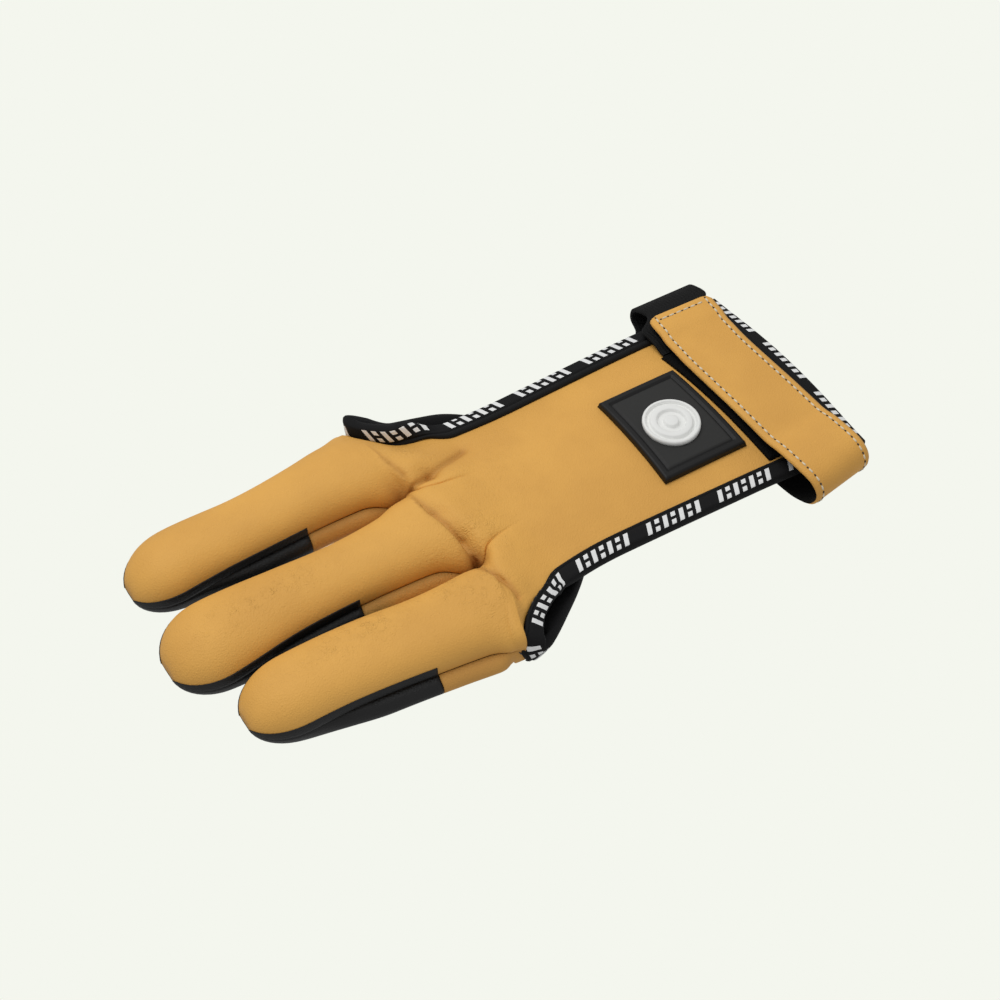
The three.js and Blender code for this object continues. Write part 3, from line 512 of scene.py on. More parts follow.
class Finish:
    """A material with one Principled shader."""

    def __init__(self, name):
        self.material = bpy.data.materials.new(name)
        self.material.use_nodes = True
        self.tree = self.material.node_tree
        self.shader = self.tree.nodes["Principled BSDF"]

    def add(self, kind, settings=None, *values, **named):
        return node(self.tree, kind, settings, *values, **named)

    def place(self):
        return self.add("TexCoord", out=3)

    def uv(self):
        """u along and v across the piece, in mm."""
        both = self.add("UVMap", {"uv_map": "UVMap"})
        u = self.add("SeparateXYZ", None, both)
        return u, Wire(self.tree, u.socket.node.outputs[1])

    def mask(self, name):
        return self.add("Attribute", {"attribute_name": name}, out=2)

    def noise(self, scale, detail=2, rough=0.5, warp=0, out=0):
        return self.add(
            "TexNoise", None, Vector=self.place(), Scale=scale, Detail=detail,
            Roughness=rough, Distortion=warp, out=out)

    def cells(self, scale, feature="DISTANCE_TO_EDGE", where=None):
        where = where or self.place()
        return self.add("TexVoronoi", {"feature": feature}, Vector=where, Scale=scale)

    def bent_place(self, scale, reach):
        """Places on the object, bent about by a noise."""
        bend = self.noise(scale, 3, out=1)
        bend = self.add("VectorMath", {"operation": "SCALE"}, bend, Scale=reach)
        return self.add("VectorMath", {"operation": "ADD"}, self.place(), bend)

    def blend(self, factor, a, b):
        made = self.tree.nodes.new("ShaderNodeMix")
        made.data_type = "RGBA"
        for index, value in ((0, factor), (6, a), (7, b)):
            feed(self.tree, made.inputs[index], value)
        return Wire(self.tree, made.outputs[2])

    def finished(self, **values):
        """Feeds the shader's inputs and returns the material."""
        for key, value in values.items():
            feed(self.tree, self.shader.inputs[key.replace("_", " ")], value)
        return self.material

    def bump(self, height, distance, strength=1.0, below=None):
        return self.add(
            "Bump", None, Height=height, Distance=distance * MM, Strength=strength,
            Normal=below)


def leather_finish(name, light, dark):
    """Tan grain leather: cloudy colour, painted shade in the folds, crotches and steep sides,
    pores and fine broken creases with a faint painted shade.
    """
    f = Finish(name)
    painted_shade, wrinkle = f.mask("painted_shade"), f.mask("wrinkle")
    cloud = f.noise(38, 3, 0.55)
    pores = f.cells(1450)
    fine = f.noise(2300, 2)
    folds = 1 - f.cells(760, where=f.bent_place(420, 0.0026)).step(0.0, 0.3)
    folds = folds * f.noise(330, 2).step(0.3, 0.62) * wrinkle
    # Painted shade: the mask darkens the folds, crotches and steep sides, and the fine creases add
    # a faint painted shade
    shade = cloud.step(0.3, 0.72) * 0.16 + painted_shade * 0.85 + folds * 0.03
    skin = f.bump(pores.step(0, 0.35) * 0.5 + fine * 0.5, 0.11, 0.75)
    soft = f.bump(f.noise(330, 3) * wrinkle, 1.2, 0.7, below=skin)
    return f.finished(
        Base_Color=f.blend(shade, light, dark),
        Roughness=0.6 + fine * 0.1 - painted_shade * 0.06,
        Specular_IOR_Level=0.35,
        Normal=f.bump(1 - folds, 0.2, 0.8, below=soft))


def black_leather():
    f = Finish("guard leather")
    pores = f.cells(1250)
    cloud = f.noise(60, 3)
    return f.finished(
        Base_Color=f.blend(cloud, color(5, 5, 5), color(14, 14, 14)),
        Roughness=0.45 + cloud * 0.2,
        Specular_IOR_Level=0.45,
        Normal=f.bump(pores.step(0, 0.4) + f.noise(900, 2) * 0.6, 0.07, 0.7))


def fuzzy(name, noise, dark, light, relief, **rest):
    """A finish whose colour and relief follow one noise."""
    f = Finish(name)
    fuzz = f.noise(*noise)
    return f.finished(
        Base_Color=f.blend(fuzz, color(*dark), color(*light)),
        Normal=f.bump(fuzz, *relief),
        **rest)


def thread(name, tone):
    shade = [0.72 * c for c in tone]
    return fuzzy(name, (3200, 2), tone, shade, (0.08, 0.7), Roughness=0.75, Sheen_Weight=0.2)


def tape_finish(name, marked):
    """Ribbed woven tape; marked tape carries groups of plain slanted white bars."""
    f = Finish(name)
    u, v = f.uv()
    weave = u.wave(0.42) * v.wave(0.36)
    base = f.blend(weave * 0.5 + 0.5, color(8, 8, 9), color(19, 19, 20))
    if marked:
        base = f.blend(bar_groups(u, v), base, color(232, 233, 232))
    return f.finished(
        Base_Color=base,
        Roughness=0.8,
        Specular_IOR_Level=0.25,
        Normal=f.bump(weave, 0.05, 0.6))


# Bars of a marked tape, in mm but for their number and lean
BAR_PITCH = 2.55
BAR_WIDTH = 1.38
BAR_HEIGHT = 3.6
BAR_BREAK = 0.9
BAR_LEAN = 0.42
BARS = 7
GROUP = 22.6


def bar_groups(u, v):
    """1 on the bars: seven slanted bars, every other one broken, then a gap."""
    along = (u - v * BAR_LEAN).wrap(GROUP) / BAR_PITCH
    number = along.floor()
    bar = abs(along - number - 0.5) < BAR_WIDTH / BAR_PITCH / 2
    broken = (number.wrap(2) > 0.5) * (abs(v) < BAR_BREAK / 2)
    return (along < BARS) * bar * (abs(v) < BAR_HEIGHT / 2) * (1 - broken)


def pile_finish():
    f = Finish("loop pile")
    fuzz = f.noise(1500, 4, 0.75, warp=0.6)
    loops = f.cells(1700, "F1")
    return f.finished(
        Base_Color=f.blend(fuzz, color(5, 5, 5), color(20, 20, 20)),
        Roughness=1.0,
        Specular_IOR_Level=0.15,
        Normal=f.bump(fuzz + loops, 0.4, 0.8))


def elastic_finish():
    f = Finish("elastic")
    u, v = f.uv()
    rib, cord = v.wave(1.1), u.wave(0.55)
    return f.finished(
        Base_Color=f.blend(rib * 0.25 + cord * 0.25 + 0.5, color(5, 5, 5), color(17, 17, 17)),
        Roughness=0.85,
        Specular_IOR_Level=0.25,
        Normal=f.bump(rib + cord * 0.6, 0.12, 0.8))


def label_finish():
    """Moulded rubber: a glossier dark rim, painted shade darkening the groove inside it, and a
    greyer face.
    """
    f = Finish("label rubber")
    way_in = f.mask("rim")
    face, groove_shade = way_in.step(2.75, 3.05), way_in.step(2.0, 2.3)
    fine = f.noise(1300, 3)
    # Painted shade: the groove inside the rim is painted darker than the rim
    rim = f.blend(groove_shade, color(6, 6, 6), color(3, 3, 3))
    return f.finished(
        Base_Color=f.blend(face, rim, color(38, 38, 37)),
        Roughness=0.5 + face * 0.14 + fine * 0.1,
        Specular_IOR_Level=0.35,
        Normal=f.bump(fine, 0.03, 0.5))


def emblem_finish():
    f = Finish("emblem rubber")
    fine = f.noise(1300, 3)
    return f.finished(
        Base_Color=f.blend(f.noise(90, 2), color(226, 227, 224), color(236, 236, 233)),
        Roughness=0.5 + fine * 0.16,
        Normal=f.bump(fine, 0.03, 0.5))


# ---- Finishes ----
TAN = leather_finish("back leather", color(226, 170, 82), color(146, 88, 32))
TAN_SIDE = leather_finish("palm leather", color(214, 160, 80), color(150, 94, 38))
BLACK = black_leather()
# Painted shade: the leather pieces' inner faces are painted near black, standing in for the shade
# inside the glove
INNER_SHADE = fuzzy(
    "painted shade inner side", (1900, 3, 0.7), (6, 6, 6), (18, 17, 16), (0.12, 0.8),
    Roughness=0.95, Specular_IOR_Level=0.2)
MARKED = tape_finish("marked tape", True)
PLAIN_TAPE = tape_finish("plain tape", False)
CREAM = thread("cream thread", (250, 236, 204))
# Black thread, which also paints the shade in the strap's needle holes
BLACK_THREAD_AND_HOLE_SHADE = thread("black thread and hole shade", (26, 26, 27))
PILE = pile_finish()
ELASTIC = elastic_finish()
LABEL_RUBBER = label_finish()
WHITE_RUBBER = emblem_finish()


# ---- Leather pieces ----
# Fine wrinkle patches, in mm: centre, half sizes, and turn of the long axis in degrees
WRINKLES = table(
    "x y long wide turn weight",
    (-48, -1, 22, 5, 6, 0.8),
    (-30, -22, 20, 6, 8, 0.9),
    (-6, -20, 9, 7, 60, 0.9),
    (2, -29, 7, 7, 0, 1),
    (6, 27, 7, 9, 30, 0.6),
    (10, -10, 9, 12, 20, 0.55),
    (22, 8, 16, 14, 0, 0.25))


def wrinkled(x, y):
    """Share of fine wrinkles at a place."""
    value = 0.0
    for patch in WRINKLES:
        turn = math.radians(patch["turn"])
        dx, dy = x - patch["x"], y - patch["y"]
        along = (dx * math.cos(turn) + dy * math.sin(turn)) / patch["long"]
        across = (dy * math.cos(turn) - dx * math.sin(turn)) / patch["wide"]
        value = max(value, patch["weight"] * math.exp(-along * along - across * across))
    return min(1.0, value + 0.1)


def marks(bm, painted_shade):
    """Writes the painted shade and wrinkle shares that the leather's colour and relief follow."""
    bm.normal_update()
    dark = bm.verts.layers.float.new("painted_shade")
    rough = bm.verts.layers.float.new("wrinkle")
    for vert in bm.verts:
        vert[dark] = clamp(painted_shade(vert.co, vert.normal))
        vert[rough] = wrinkled(vert.co.x, vert.co.y)


# Shares of painted shade that the folds, the crotches and the steep sides give the back's leather,
# the reach of a crotch's painted shade in mm, and the depth of the creases pressed along the folds
# in mm
FOLD_SHADE, CROTCH_SHADE, SIDE_SHADE = 0.4, 0.7, 0.22
CROTCH_REACH = 2.6
CREASE = 0.65


def back_painted_shade(co, normal):
    """Painted shade at a place of the back: darker in its folds, at the crotches and on its steep
    sides.
    """
    away = min(math.hypot(co.x - p["x"], co.y - p["y"]) for p in CROTCHES)
    crotch = math.exp(-(away / CROTCH_REACH) ** 2)
    fold = fold_depth(co.x, co.y, 0.5) + fold_depth(co.x, co.y, 0.22) if co.x > 0 else 0
    # Painted shade on the steep sides, where less light falls
    side = smooth((0.4 - normal.z) / 0.5)
    return FOLD_SHADE * clamp(fold / (1.3 * LEATHER)) + CROTCH_SHADE * crotch + SIDE_SHADE * side


def sewn(bm, up, painted_shade):
    """Finishes an open leather sheet: marked with painted shade and wrinkles, creased along its
    folds and pulled into place.
    """
    faced(bm, up)
    marks(bm, painted_shade)
    for vert in bm.verts:
        if up > 0 and vert.co.x > 1:
            vert.co -= vert.normal * CREASE * max(0, fold_depth(vert.co.x, vert.co.y, 0.25))
    for vert in bm.verts:
        vert.co = pulled(vert.co)
    bm.normal_update()
    return bm


def guard_end(finger, side):
    """Where a finger's guard ends (-1) and its palm leather starts (1), half a gap either way."""
    return finger["guard"] + side * GAP / (2 * finger["length"] * FINGER_LENGTH)


def panel(above, start, at, length, point, count, painted_shade):
    """A leather panel: the fingers from start(finger) on, and the hand's part."""
    bm = bmesh.new()
    for finger in FINGERS:
        finger_grid(bm, finger, start(finger), 1, above, DENSE)
    hand_grid(bm, at, length, point, count)
    return sewn(bm, 1 if above else -1, painted_shade)


back_mesh = panel(
    True, lambda finger: TIP_ROWS[0], back_at, HAND_LENGTH, back_point, len(BACK), back_painted_shade)
# The palm leather's painted shade grows towards the seam, where the back leather meets it
palm_mesh = panel(
    False, lambda finger: guard_end(finger, 1), palm_at, PALM_LENGTH, palm_point, len(PALM),
    lambda co, normal: 0.2 * smooth(co.z / SEAM_HEIGHT))
back_tree = BVHTree.FromBMesh(back_mesh)
palm_tree = BVHTree.FromBMesh(palm_mesh)
piece("back_leather", back_mesh, TAN, "back_panel", slot="leather", wall=LEATHER, inner=INNER_SHADE)
piece("palm_leather", palm_mesh, TAN_SIDE, "palm_panel",
      slot="leather_side", wall=LEATHER, inner=INNER_SHADE)

# Guards lap a little way up the sides of the finger tops: columns, height and wall in mm
LAP = 0.6
LAP_HEIGHT = 0.22
LAP_WALL = 0.3
for finger in FINGERS:
    guard, laps = bmesh.new(), bmesh.new()
    finger_grid(guard, finger, TIP_ROWS[0], guard_end(finger, -1), False, 6)
    faced(guard, -1)
    for cols in ((0, LAP), (COLS - LAP, COLS)):
        finger_grid(laps, finger, TIP_ROWS[0], guard_end(finger, -1), True, 10, cols)
    faced(laps, 1)
    for vert in laps.verts:
        vert.co += vert.normal * LAP_HEIGHT
    piece(f"{finger['name']}_guard_leather", guard, BLACK, f"{finger['name']}_guard",
          slot="guard_leather", wall=LEATHER)
    piece(f"{finger['name']}_guard_lap", laps, BLACK, slot="guard_leather", wall=LAP_WALL)


# ---- Bindings ----
def side_run(col, middle):
    """Edge points from the wrist round the notch and along the palm's end to its middle."""
    stop = back_point(len(BACK) - 1, col).x - EDGE - 2 * GAP
    wrist = [back_point(row, col) for row in range(len(BACK) - 1, 0, -1)]
    run = [p for p in wrist if 0 < p.x < stop]
    start = run[0].copy()
    start.x, start.z = stop, back_height(stop, start.y)
    run.insert(0, start)
    run = run[:-1]
    run[-1] = run[-1].lerp(palm_point(1, col), 0.5)
    run += [palm_point(row, col) for row in range(2, len(PALM))]
    stride = 1 if col < middle else -1
    run += [palm_point(len(PALM) - 1, c) for c in range(col + stride, middle + stride, stride)]
    run[-1] = run[-1] + (run[-2] - run[-1]).normalized() * GAP
    return [pulled(place) for place in run]


def through(ends, t):
    """A value between the middle two of four, on a Catmull-Rom curve."""
    p0, p1, p2, p3 = ends
    a = 2 * p1 + (p2 - p0) * t
    b = (2 * p0 - 5 * p1 + 4 * p2 - p3) * t * t
    c = (3 * p1 - 3 * p2 + p3 - p0) * t ** 3
    return (a + b + c) / 2


def four_round(items, i):
    """The items before, at, after and two after i, with the ends of the list repeated."""
    last = len(items) - 1
    return [items[max(0, i - 1)], items[i], items[i + 1], items[min(last, i + 2)]]


def smooth_path(points):
    """Points at even steps on a smooth curve through the given points."""
    out = []
    for i in range(len(points) - 1):
        count = max(1, round((points[i + 1] - points[i]).length / STEP))
        out += [through(four_round(points, i), k / count) for k in range(count)]
    return out + [points[-1].copy()]


def beside(items):
    """The items before and after each item, with the ends of the list repeated."""
    return zip(items[:1] + items[:-1], items[1:] + items[-1:])


def relaxed(vectors, turns):
    """Directions along a run, each drawn towards its neighbours a number of times."""
    for _ in range(turns):
        vectors = [(v * 2 + a + b).normalized() for v, (a, b) in zip(vectors, beside(vectors))]
    return vectors


# Steps along bindings and bands, and how far a notch's corner turns the edge aside, in mm
STEP = 0.9
NOTCH_REACH = 7

# The lip that a tape stands off the leather at each notch, in mm: its way, how far before the
# corner it starts and is whole, how far after the corner it ends, and the share it narrows by
FAR_LIP, NEAR_LIP = table(
    "dx dy dz start whole end narrow",
    (-1, 1.8, 6.4, 27, 14, 13, 0.75),
    (4.2, -0.6, 0.3, 26, 12, 7, 0.4))


class Station:
    """A place along a bound edge, with the leather's normal and the way out from the leather."""

    def __init__(self, place, tree):
        self.place = self.lip = place
        self.tree = tree
        self.normal = tree.find_nearest(place)[1]
        self.corner = self.stand = 0.0
        self.narrow = 1.0
        self.out = self.along = None

    def at_notch(self, away, side, lip):
        """Turns the normal aside at a notch's corner and stands the lip up either side of it."""
        before = (lip["start"] + away) / (lip["start"] - lip["whole"])
        self.corner = smooth(1 - abs(away) / NOTCH_REACH)
        self.stand = smooth(before if away < 0 else 1 - away / lip["end"])
        self.narrow = 1 - lip["narrow"] * self.stand
        self.lip = self.place + Vector((lip["dx"], lip["dy"], lip["dz"])) * self.stand
        self.normal = self.normal.lerp(Vector((0, -side, 0)), self.corner).normalized()

    def on_leather(self, reach):
        """Place and normal a way in from the edge: on the leather, or free at a notch's corner."""
        free = self.place - self.out * reach * self.narrow
        spot, up = self.tree.find_nearest(free)[:2]
        return spot.lerp(free, self.corner), up.lerp(self.normal, self.corner).normalized()


def stations(path, side, lip=None):
    """Edge stations on the back before a notch's corner, and on the palm after it."""
    corner = min(range(len(path)), key=lambda i: path[i].x) if lip else math.inf
    ring = [Station(place, back_tree if i < corner else palm_tree) for i, place in enumerate(path)]
    for i, station in enumerate(ring if lip else []):
        station.at_notch((i - corner) * STEP, side, lip)
    normals = relaxed([station.normal for station in ring], 5)
    alongs = [(b - a).normalized() for a, b in beside(path)]
    outs = relaxed([normal.cross(along) * side for normal, along in zip(normals, alongs)], 5)
    for station, normal, along, out in zip(ring, normals, relaxed(alongs, 4), outs):
        station.normal = normal
        station.along = along * side
        station.out = (out - normal * out.dot(normal)).normalized()
    return ring


# Top of a folded tape, in mm: the way in from the leather's edge and the height over the
# leather, with a narrow seam or, on the far tape, a thick roll at its inner edge
FLAT = 1.05
FLAT_COL = 8
TAPE_REACH = 1.35
TAPE_WALL = 0.85
FOLD_STEPS = 9
SEAMED = [(EDGE - 0.4 - into, height) for into, height in (
    (0, 0.1), (0.1, 0.5), (0.4, 0.72), (0.75, 0.7), (0.95, 0.5), (1.2, 0.7), (1.6, 0.95),
    (2.3, FLAT), (3.1, FLAT), (3.8, FLAT))]
ROLLED = [(EDGE + 0.4 - into, height) for into, height in (
    (0, 0.1), (0.15, 0.75), (0.6, 1.15), (1.2, 1.2), (1.75, 0.95), (2.05, 0.6), (2.3, 0.7),
    (2.6, 1), (3.2, FLAT), (3.8, FLAT))]


def turned(normal, face, share):
    """Turns a normal to a standing tape's face, by way of straight up so that it can't flip."""
    up = normal.lerp(Vector((0, 0, 1)), min(1, 2 * share) * max(0, face.z + 0.3))
    return up.lerp(face, smooth(share)).normalized()


def fold_round():
    """The tape's turn over the edge: (way out from the edge, height over the leather's middle)."""
    for k in range(FOLD_STEPS + 1):
        angle = math.pi / 2 - math.pi * k / FOLD_STEPS
        away = TAPE_REACH * (0.15 + 0.85 * abs(math.cos(angle)) ** 0.75)
        yield away, (FLAT + LEATHER / 2) * math.sin(angle)


def tape_section(station, top):
    """One section of a tape: over the leather or up to its lip, round the edge and back below."""
    low = station.on_leather(top[0][0])[0]
    way = (station.lip - low).normalized()
    face = station.along.cross(way).normalized()
    section = []
    for reach, height in top:
        spot, up = station.on_leather(reach)
        stood = low.lerp(station.lip, 1 - clamp(reach / EDGE))
        section.append(spot.lerp(stood, station.stand) + turned(up, face, station.stand) * height)
    out = station.out.lerp(way, station.stand).normalized()
    normal = turned(station.normal, face, station.stand)
    core = station.lip - normal * LEATHER / 2
    section += [core + out * away + normal * up for away, up in fold_round()]
    for reach, height in reversed(top[::3]):
        spot, up = station.on_leather(reach)
        section.append(spot - up * (LEATHER + height))
    return section


def map_loops(bm, layer, where):
    """Writes the map of the faces whose corners are in where."""
    for face in bm.faces:
        if face.verts[0] in where:
            for loop in face.loops:
                loop[layer].uv = where[loop.vert]


def tape_bm(ring, top, middle):
    """Tape folded over an edge, with u along it and v across from its middle line, in mm."""
    bm = bmesh.new()
    sections = [tape_section(station, top) for station in ring]
    spots = grid(bm, len(sections) - 1, len(sections[0]) - 1, lambda i, j: sections[i][j])
    where, along = {}, 0.0
    for i, section in enumerate(sections):
        if i:
            along += (section[FLAT_COL] - sections[i - 1][FLAT_COL]).length
        across = -middle
        for j, spot in enumerate(section):
            if j:
                across += (spot - section[j - 1]).length
            where[spots[i, j]] = (along, across)
    map_loops(bm, bm.loops.layers.uv.new("UVMap"), where)
    return bm


def outward(bm, ring):
    """Turns a strip's faces away from the ring it runs round."""
    bm.normal_update()
    station = ring[len(ring) // 2]
    face = min(bm.faces, key=lambda f: (f.calc_center_median() - station.place).length)
    if face.normal.dot(face.calc_center_median() - station.place + station.out) < 0:
        bmesh.ops.reverse_faces(bm, faces=bm.faces)
    bm.normal_update()


def wrist_stations():
    """Edge stations along the back's wrist edge, from the far side."""
    last = len(BACK) - 1
    run = [back_point(last, col) for col in range(0, ALL_COLS + 1, 2)]
    for end, inner in ((0, 1), (-1, -2)):
        along = (run[end] - run[inner]).normalized()
        run[end] = run[end] + along * TAPE_REACH
    ring = stations(smooth_path(run), -1)
    for station in ring:
        station.out = Vector((1, 0, station.out.z / max(0.2, station.out.x))).normalized()
    return ring


MIDDLE_COL = round(0.46 * ALL_COLS)
near_ring = stations(smooth_path(side_run(ALL_COLS, MIDDLE_COL)), 1, NEAR_LIP)
far_ring = stations(smooth_path(side_run(0, MIDDLE_COL)), -1, FAR_LIP)
wrist_ring = wrist_stations()
TAPES = table(
    "name ring top middle",
    ("near", near_ring, SEAMED, 3.9),
    ("far", far_ring, ROLLED, 5.6),
    ("wrist", wrist_ring, SEAMED, 5.8))
for tape in TAPES:
    tape_mesh = tape_bm(tape["ring"], tape["top"], tape["middle"])
    outward(tape_mesh, tape["ring"])
    piece(f"{tape['name']}_tape", tape_mesh, MARKED, f"{tape['name']}_binding", slot="tape",
          wall=TAPE_WALL, inner=PLAIN_TAPE)


# ---- Bands round the wrist ----
PILE_LEVEL = GAP + BACKING / 2
HOOK_LEVEL = PILE_LEVEL + BACKING + GAP
STRAP_LEVEL = HOOK_LEVEL + (BACKING + LEATHER) / 2 + GAP
BAND_EDGE = 0.45


def over_back(row, level, shift=None, wide=1):
    """A station of a band that lies over the back, at a level in mm above it."""
    x = STRAP_X + (0.5 + (row["shift"] if shift is None else shift)) * STRAP_WIDTH
    y = row["y"] * STRAP_SPAN
    z = back_height(x, max(-0.63 * HALF, min(0.7 * HALF, y))) + level
    z += row["lift"] * STRAP_HEIGHT
    return dict(x=x, y=y, z=z, rest=1, wide=wide, skew=row.get("skew", 0))


def in_air(row, z, shift, wide=1):
    """A station of a band at its own height."""
    x = STRAP_X + (0.5 + shift) * STRAP_WIDTH
    return dict(x=x, y=row["y"] * STRAP_SPAN, z=z, rest=0, wide=wide, skew=row.get("skew", 0))


strap_path = [over_back(row, STRAP_LEVEL) for row in STRAP_TOP]
strap_path += [in_air(r, r["height"] * STRAP_HEIGHT, r["shift"], r["wide"]) for r in STRAP_FOLD]
strap_path += [in_air(r, LEATHER / 2, r["shift"], r["wide"]) for r in STRAP_UNDER]
strap_path += [in_air(dict(y=JOIN_Y - GAP / STRAP_SPAN), LEATHER / 2, 0.02)]
hook_path = [over_back(row, HOOK_LEVEL) for row in STRAP_TOP]
elastic_path = [over_back(r, GAP + BAND_THICKNESS / 2, -0.155, 0.97) for r in ELASTIC_TOP]
elastic_path += [in_air(r, r["height"] * STRAP_HEIGHT, 0.07, 0.95) for r in ELASTIC_FOLD]
elastic_path += [in_air(dict(y=y), BAND_THICKNESS / 2, 0.02) for y in (0.48, 0.3, 0.12, JOIN_Y)]


def smooth_band(path):
    """The path's stations at even steps on a smooth curve."""
    places = [Vector((s["x"], s["y"], s["z"])) for s in path]
    out = []
    for i in range(len(path) - 1):
        ends = four_round(path, i)
        count = max(1, round((places[i + 1] - places[i]).length / STEP))
        for k in range(count):
            out.append({key: through([end[key] for end in ends], k / count) for key in path[0]})
    return out + [dict(path[-1])]


def band_spot(line, i, across):
    """Place on a band's middle sheet and its outward normal, across from its middle line."""
    s = line[i]
    x = s["x"] + across * s["wide"]
    y = s["y"] + s["skew"] * (x - s["x"])
    tilt = s["rest"] * (back_height(x, y) - back_height(s["x"], s["y"]))
    a, b = line[max(0, i - 1)], line[min(len(line) - 1, i + 1)]
    up = Vector((0, b["z"] - a["z"], a["y"] - b["y"])).normalized()
    return Vector((x, y, s["z"] + tilt)), up


def band_bm(path, width, thickness, corner=0.0, cols=26):
    """Band with rounded edges: an outer face and, in its second material, an inner face."""
    line = smooth_band(path)
    lengths = [0.0]
    for a, b in zip(line, line[1:]):
        lengths.append(lengths[-1] + math.hypot(b["y"] - a["y"], b["z"] - a["z"]))

    def share(i):
        """Share of the width, less where the first end's corners are rounded."""
        if lengths[i] >= corner:
            return 1
        return 1 - 2 * corner / width * (1 - bow(1 - lengths[i] / corner, 2))

    def place(i, j, side):
        spot, up = band_spot(line, i, (j / cols - 0.5) * width * share(i))
        rim = width / 2 - abs(j / cols - 0.5) * width
        end = min(lengths[i], lengths[-1] - lengths[i]) + 0.12
        return spot + up * side * thickness / 2 * rounded(min(rim, end), BAND_EDGE, 2)

    bm = bmesh.new()
    rows = len(line) - 1
    layer = bm.loops.layers.uv.new("UVMap")
    for side in (1, -1):
        spots = grid(bm, rows, cols, lambda i, j: place(i, j, side))
        where = {vert: (lengths[i], j / cols * width) for (i, j), vert in spots.items()}
        map_loops(bm, layer, where)
        for face in bm.faces:
            if side < 0 and face.verts[0] in where:
                face.material_index = 1
    merged(bm, 0.02)
    return bm, line, lengths


strap_bm, strap_line, strap_lengths = band_bm(strap_path, STRAP_WIDTH, LEATHER, corner=2.2)
for mark in ("painted_shade", "wrinkle"):
    strap_bm.verts.layers.float.new(mark)
piece("strap_leather", strap_bm, TAN, "wrist_strap", slot="leather", inner=INNER_SHADE)
hook_bm = band_bm(hook_path, STRAP_WIDTH - 1, BACKING, corner=2)[0]
piece("hook_strip", hook_bm, PILE, "hook_backing", slot="pile")
elastic_bm = band_bm(elastic_path, STRAP_WIDTH, BAND_THICKNESS, cols=40)[0]
piece("elastic_strip", elastic_bm, ELASTIC, "elastic_band", slot="elastic")


# ---- Patches on the back ----
def height_in(profile, rim):
    """Height of a patch at a way in from its rim, in mm, from (way in, height) pairs."""
    for (a, low), (b, high) in zip(profile, profile[1:]):
        if rim <= b:
            return mix(low, high, smooth((rim - a) / (b - a)))
    return profile[-1][1]


def patch_bm(x, y, length, width, turn, slant, flare, profile, step):
    """Moulded patch on the back, which keeps the way in from its rim for its finish."""
    rows, cols = round(length / step), round(width / step)
    bm = bmesh.new()
    kept = bm.verts.layers.float.new("rim")

    def way_in(i, j):
        return min(min(i, rows - i) * length / rows, min(j, cols - j) * width / cols)

    def place(i, j, top):
        a, b = (i / rows - 0.5) * length, (j / cols - 0.5) * width
        lean = math.sin(turn) + slant + flare * (a / length + 0.5)
        px = x + a * math.cos(turn) - b * lean
        py = y + a * math.sin(turn) + b * math.cos(turn)
        high = height_in(profile, way_in(i, j)) if top else 0
        return Vector((px, py, back_height(px, py) + GAP + high))

    for (i, j), vert in grid(bm, rows, cols, lambda i, j: place(i, j, True)).items():
        vert[kept] = way_in(i, j)
    grid(bm, rows, cols, lambda i, j: place(i, j, False))
    merged(bm, 0.02)
    return bm


LABEL_FLARE = 0.05
LABEL_FACE = LABEL_THICKNESS - 0.15
LABEL_PROFILE = [
    (0, 0), (0.35, 1.25), (0.7, LABEL_THICKNESS), (2.1, LABEL_THICKNESS), (2.45, 1.05),
    (2.75, 1.05), (3.05, LABEL_FACE)]
piece("label", patch_bm(
    LABEL_X, LABEL_Y, LABEL_LENGTH, LABEL_WIDTH, LABEL_TURN, 0, LABEL_FLARE, LABEL_PROFILE, 0.35),
    LABEL_RUBBER, "label_patch", slot="patch_rubber")

PILE_START = 0.767 * HAND_LENGTH
PILE_END = 0.99 * HAND_LENGTH - EDGE - 4 * GAP
PILE_FAR = 0.27 * STRAP_SPAN
PILE_NEAR = -0.665 * HALF + EDGE
PILE_SLANT = 0.1
PILE_PROFILE = [(0, 0), (0.3, 0.85), (0.8, BACKING)]
piece("loop_strip", patch_bm(
    (PILE_START + PILE_END) / 2, (PILE_FAR + PILE_NEAR) / 2, PILE_END - PILE_START,
    PILE_FAR - PILE_NEAR, 0, PILE_SLANT, 0, PILE_PROFILE, 0.5),
    PILE, "loop_patch", slot="pile")

# Raised target: radius and height as shares of the emblem's
TARGET = table(
    "radius high",
    (0, 1), (0.2, 1), (0.245, 0.93), (0.27, 0.4), (0.3, 0.33), (0.45, 0.33), (0.48, 0.4),
    (0.505, 0.93), (0.55, 1), (0.68, 1), (0.72, 0.93), (0.745, 0.4), (0.77, 0.33), (0.83, 0.33),
    (0.86, 0.4), (0.885, 0.93), (0.92, 1), (0.96, 0.97), (0.99, 0.8), (1, 0.5), (1, 0), (0, 0))


def target_bm():
    """The target turned round its middle and laid on the label's face."""
    bm = bmesh.new()
    rim = [bm.verts.new((row["radius"] * EMBLEM_RADIUS, 0, row["high"])) for row in TARGET]
    edges = [bm.edges.new(pair) for pair in zip(rim, rim[1:])]
    bmesh.ops.spin(
        bm, geom=rim + edges, axis=(0, 0, 1), cent=(0, 0, 0), angle=2 * math.pi, steps=96,
        use_merge=True)
    merged(bm, 0.005)
    for vert in bm.verts:
        x, y = vert.co.x + EMBLEM_X, vert.co.y + EMBLEM_Y
        base = back_height(x, y) + GAP + LABEL_FACE
        high = EMBLEM_HEIGHT + GAP + LABEL_THICKNESS - LABEL_FACE
        vert.co = (x, y, base + vert.co.z * high)
    return bm


piece("target_emblem", target_bm(), WHITE_RUBBER, "label_emblem", slot="emblem_rubber")


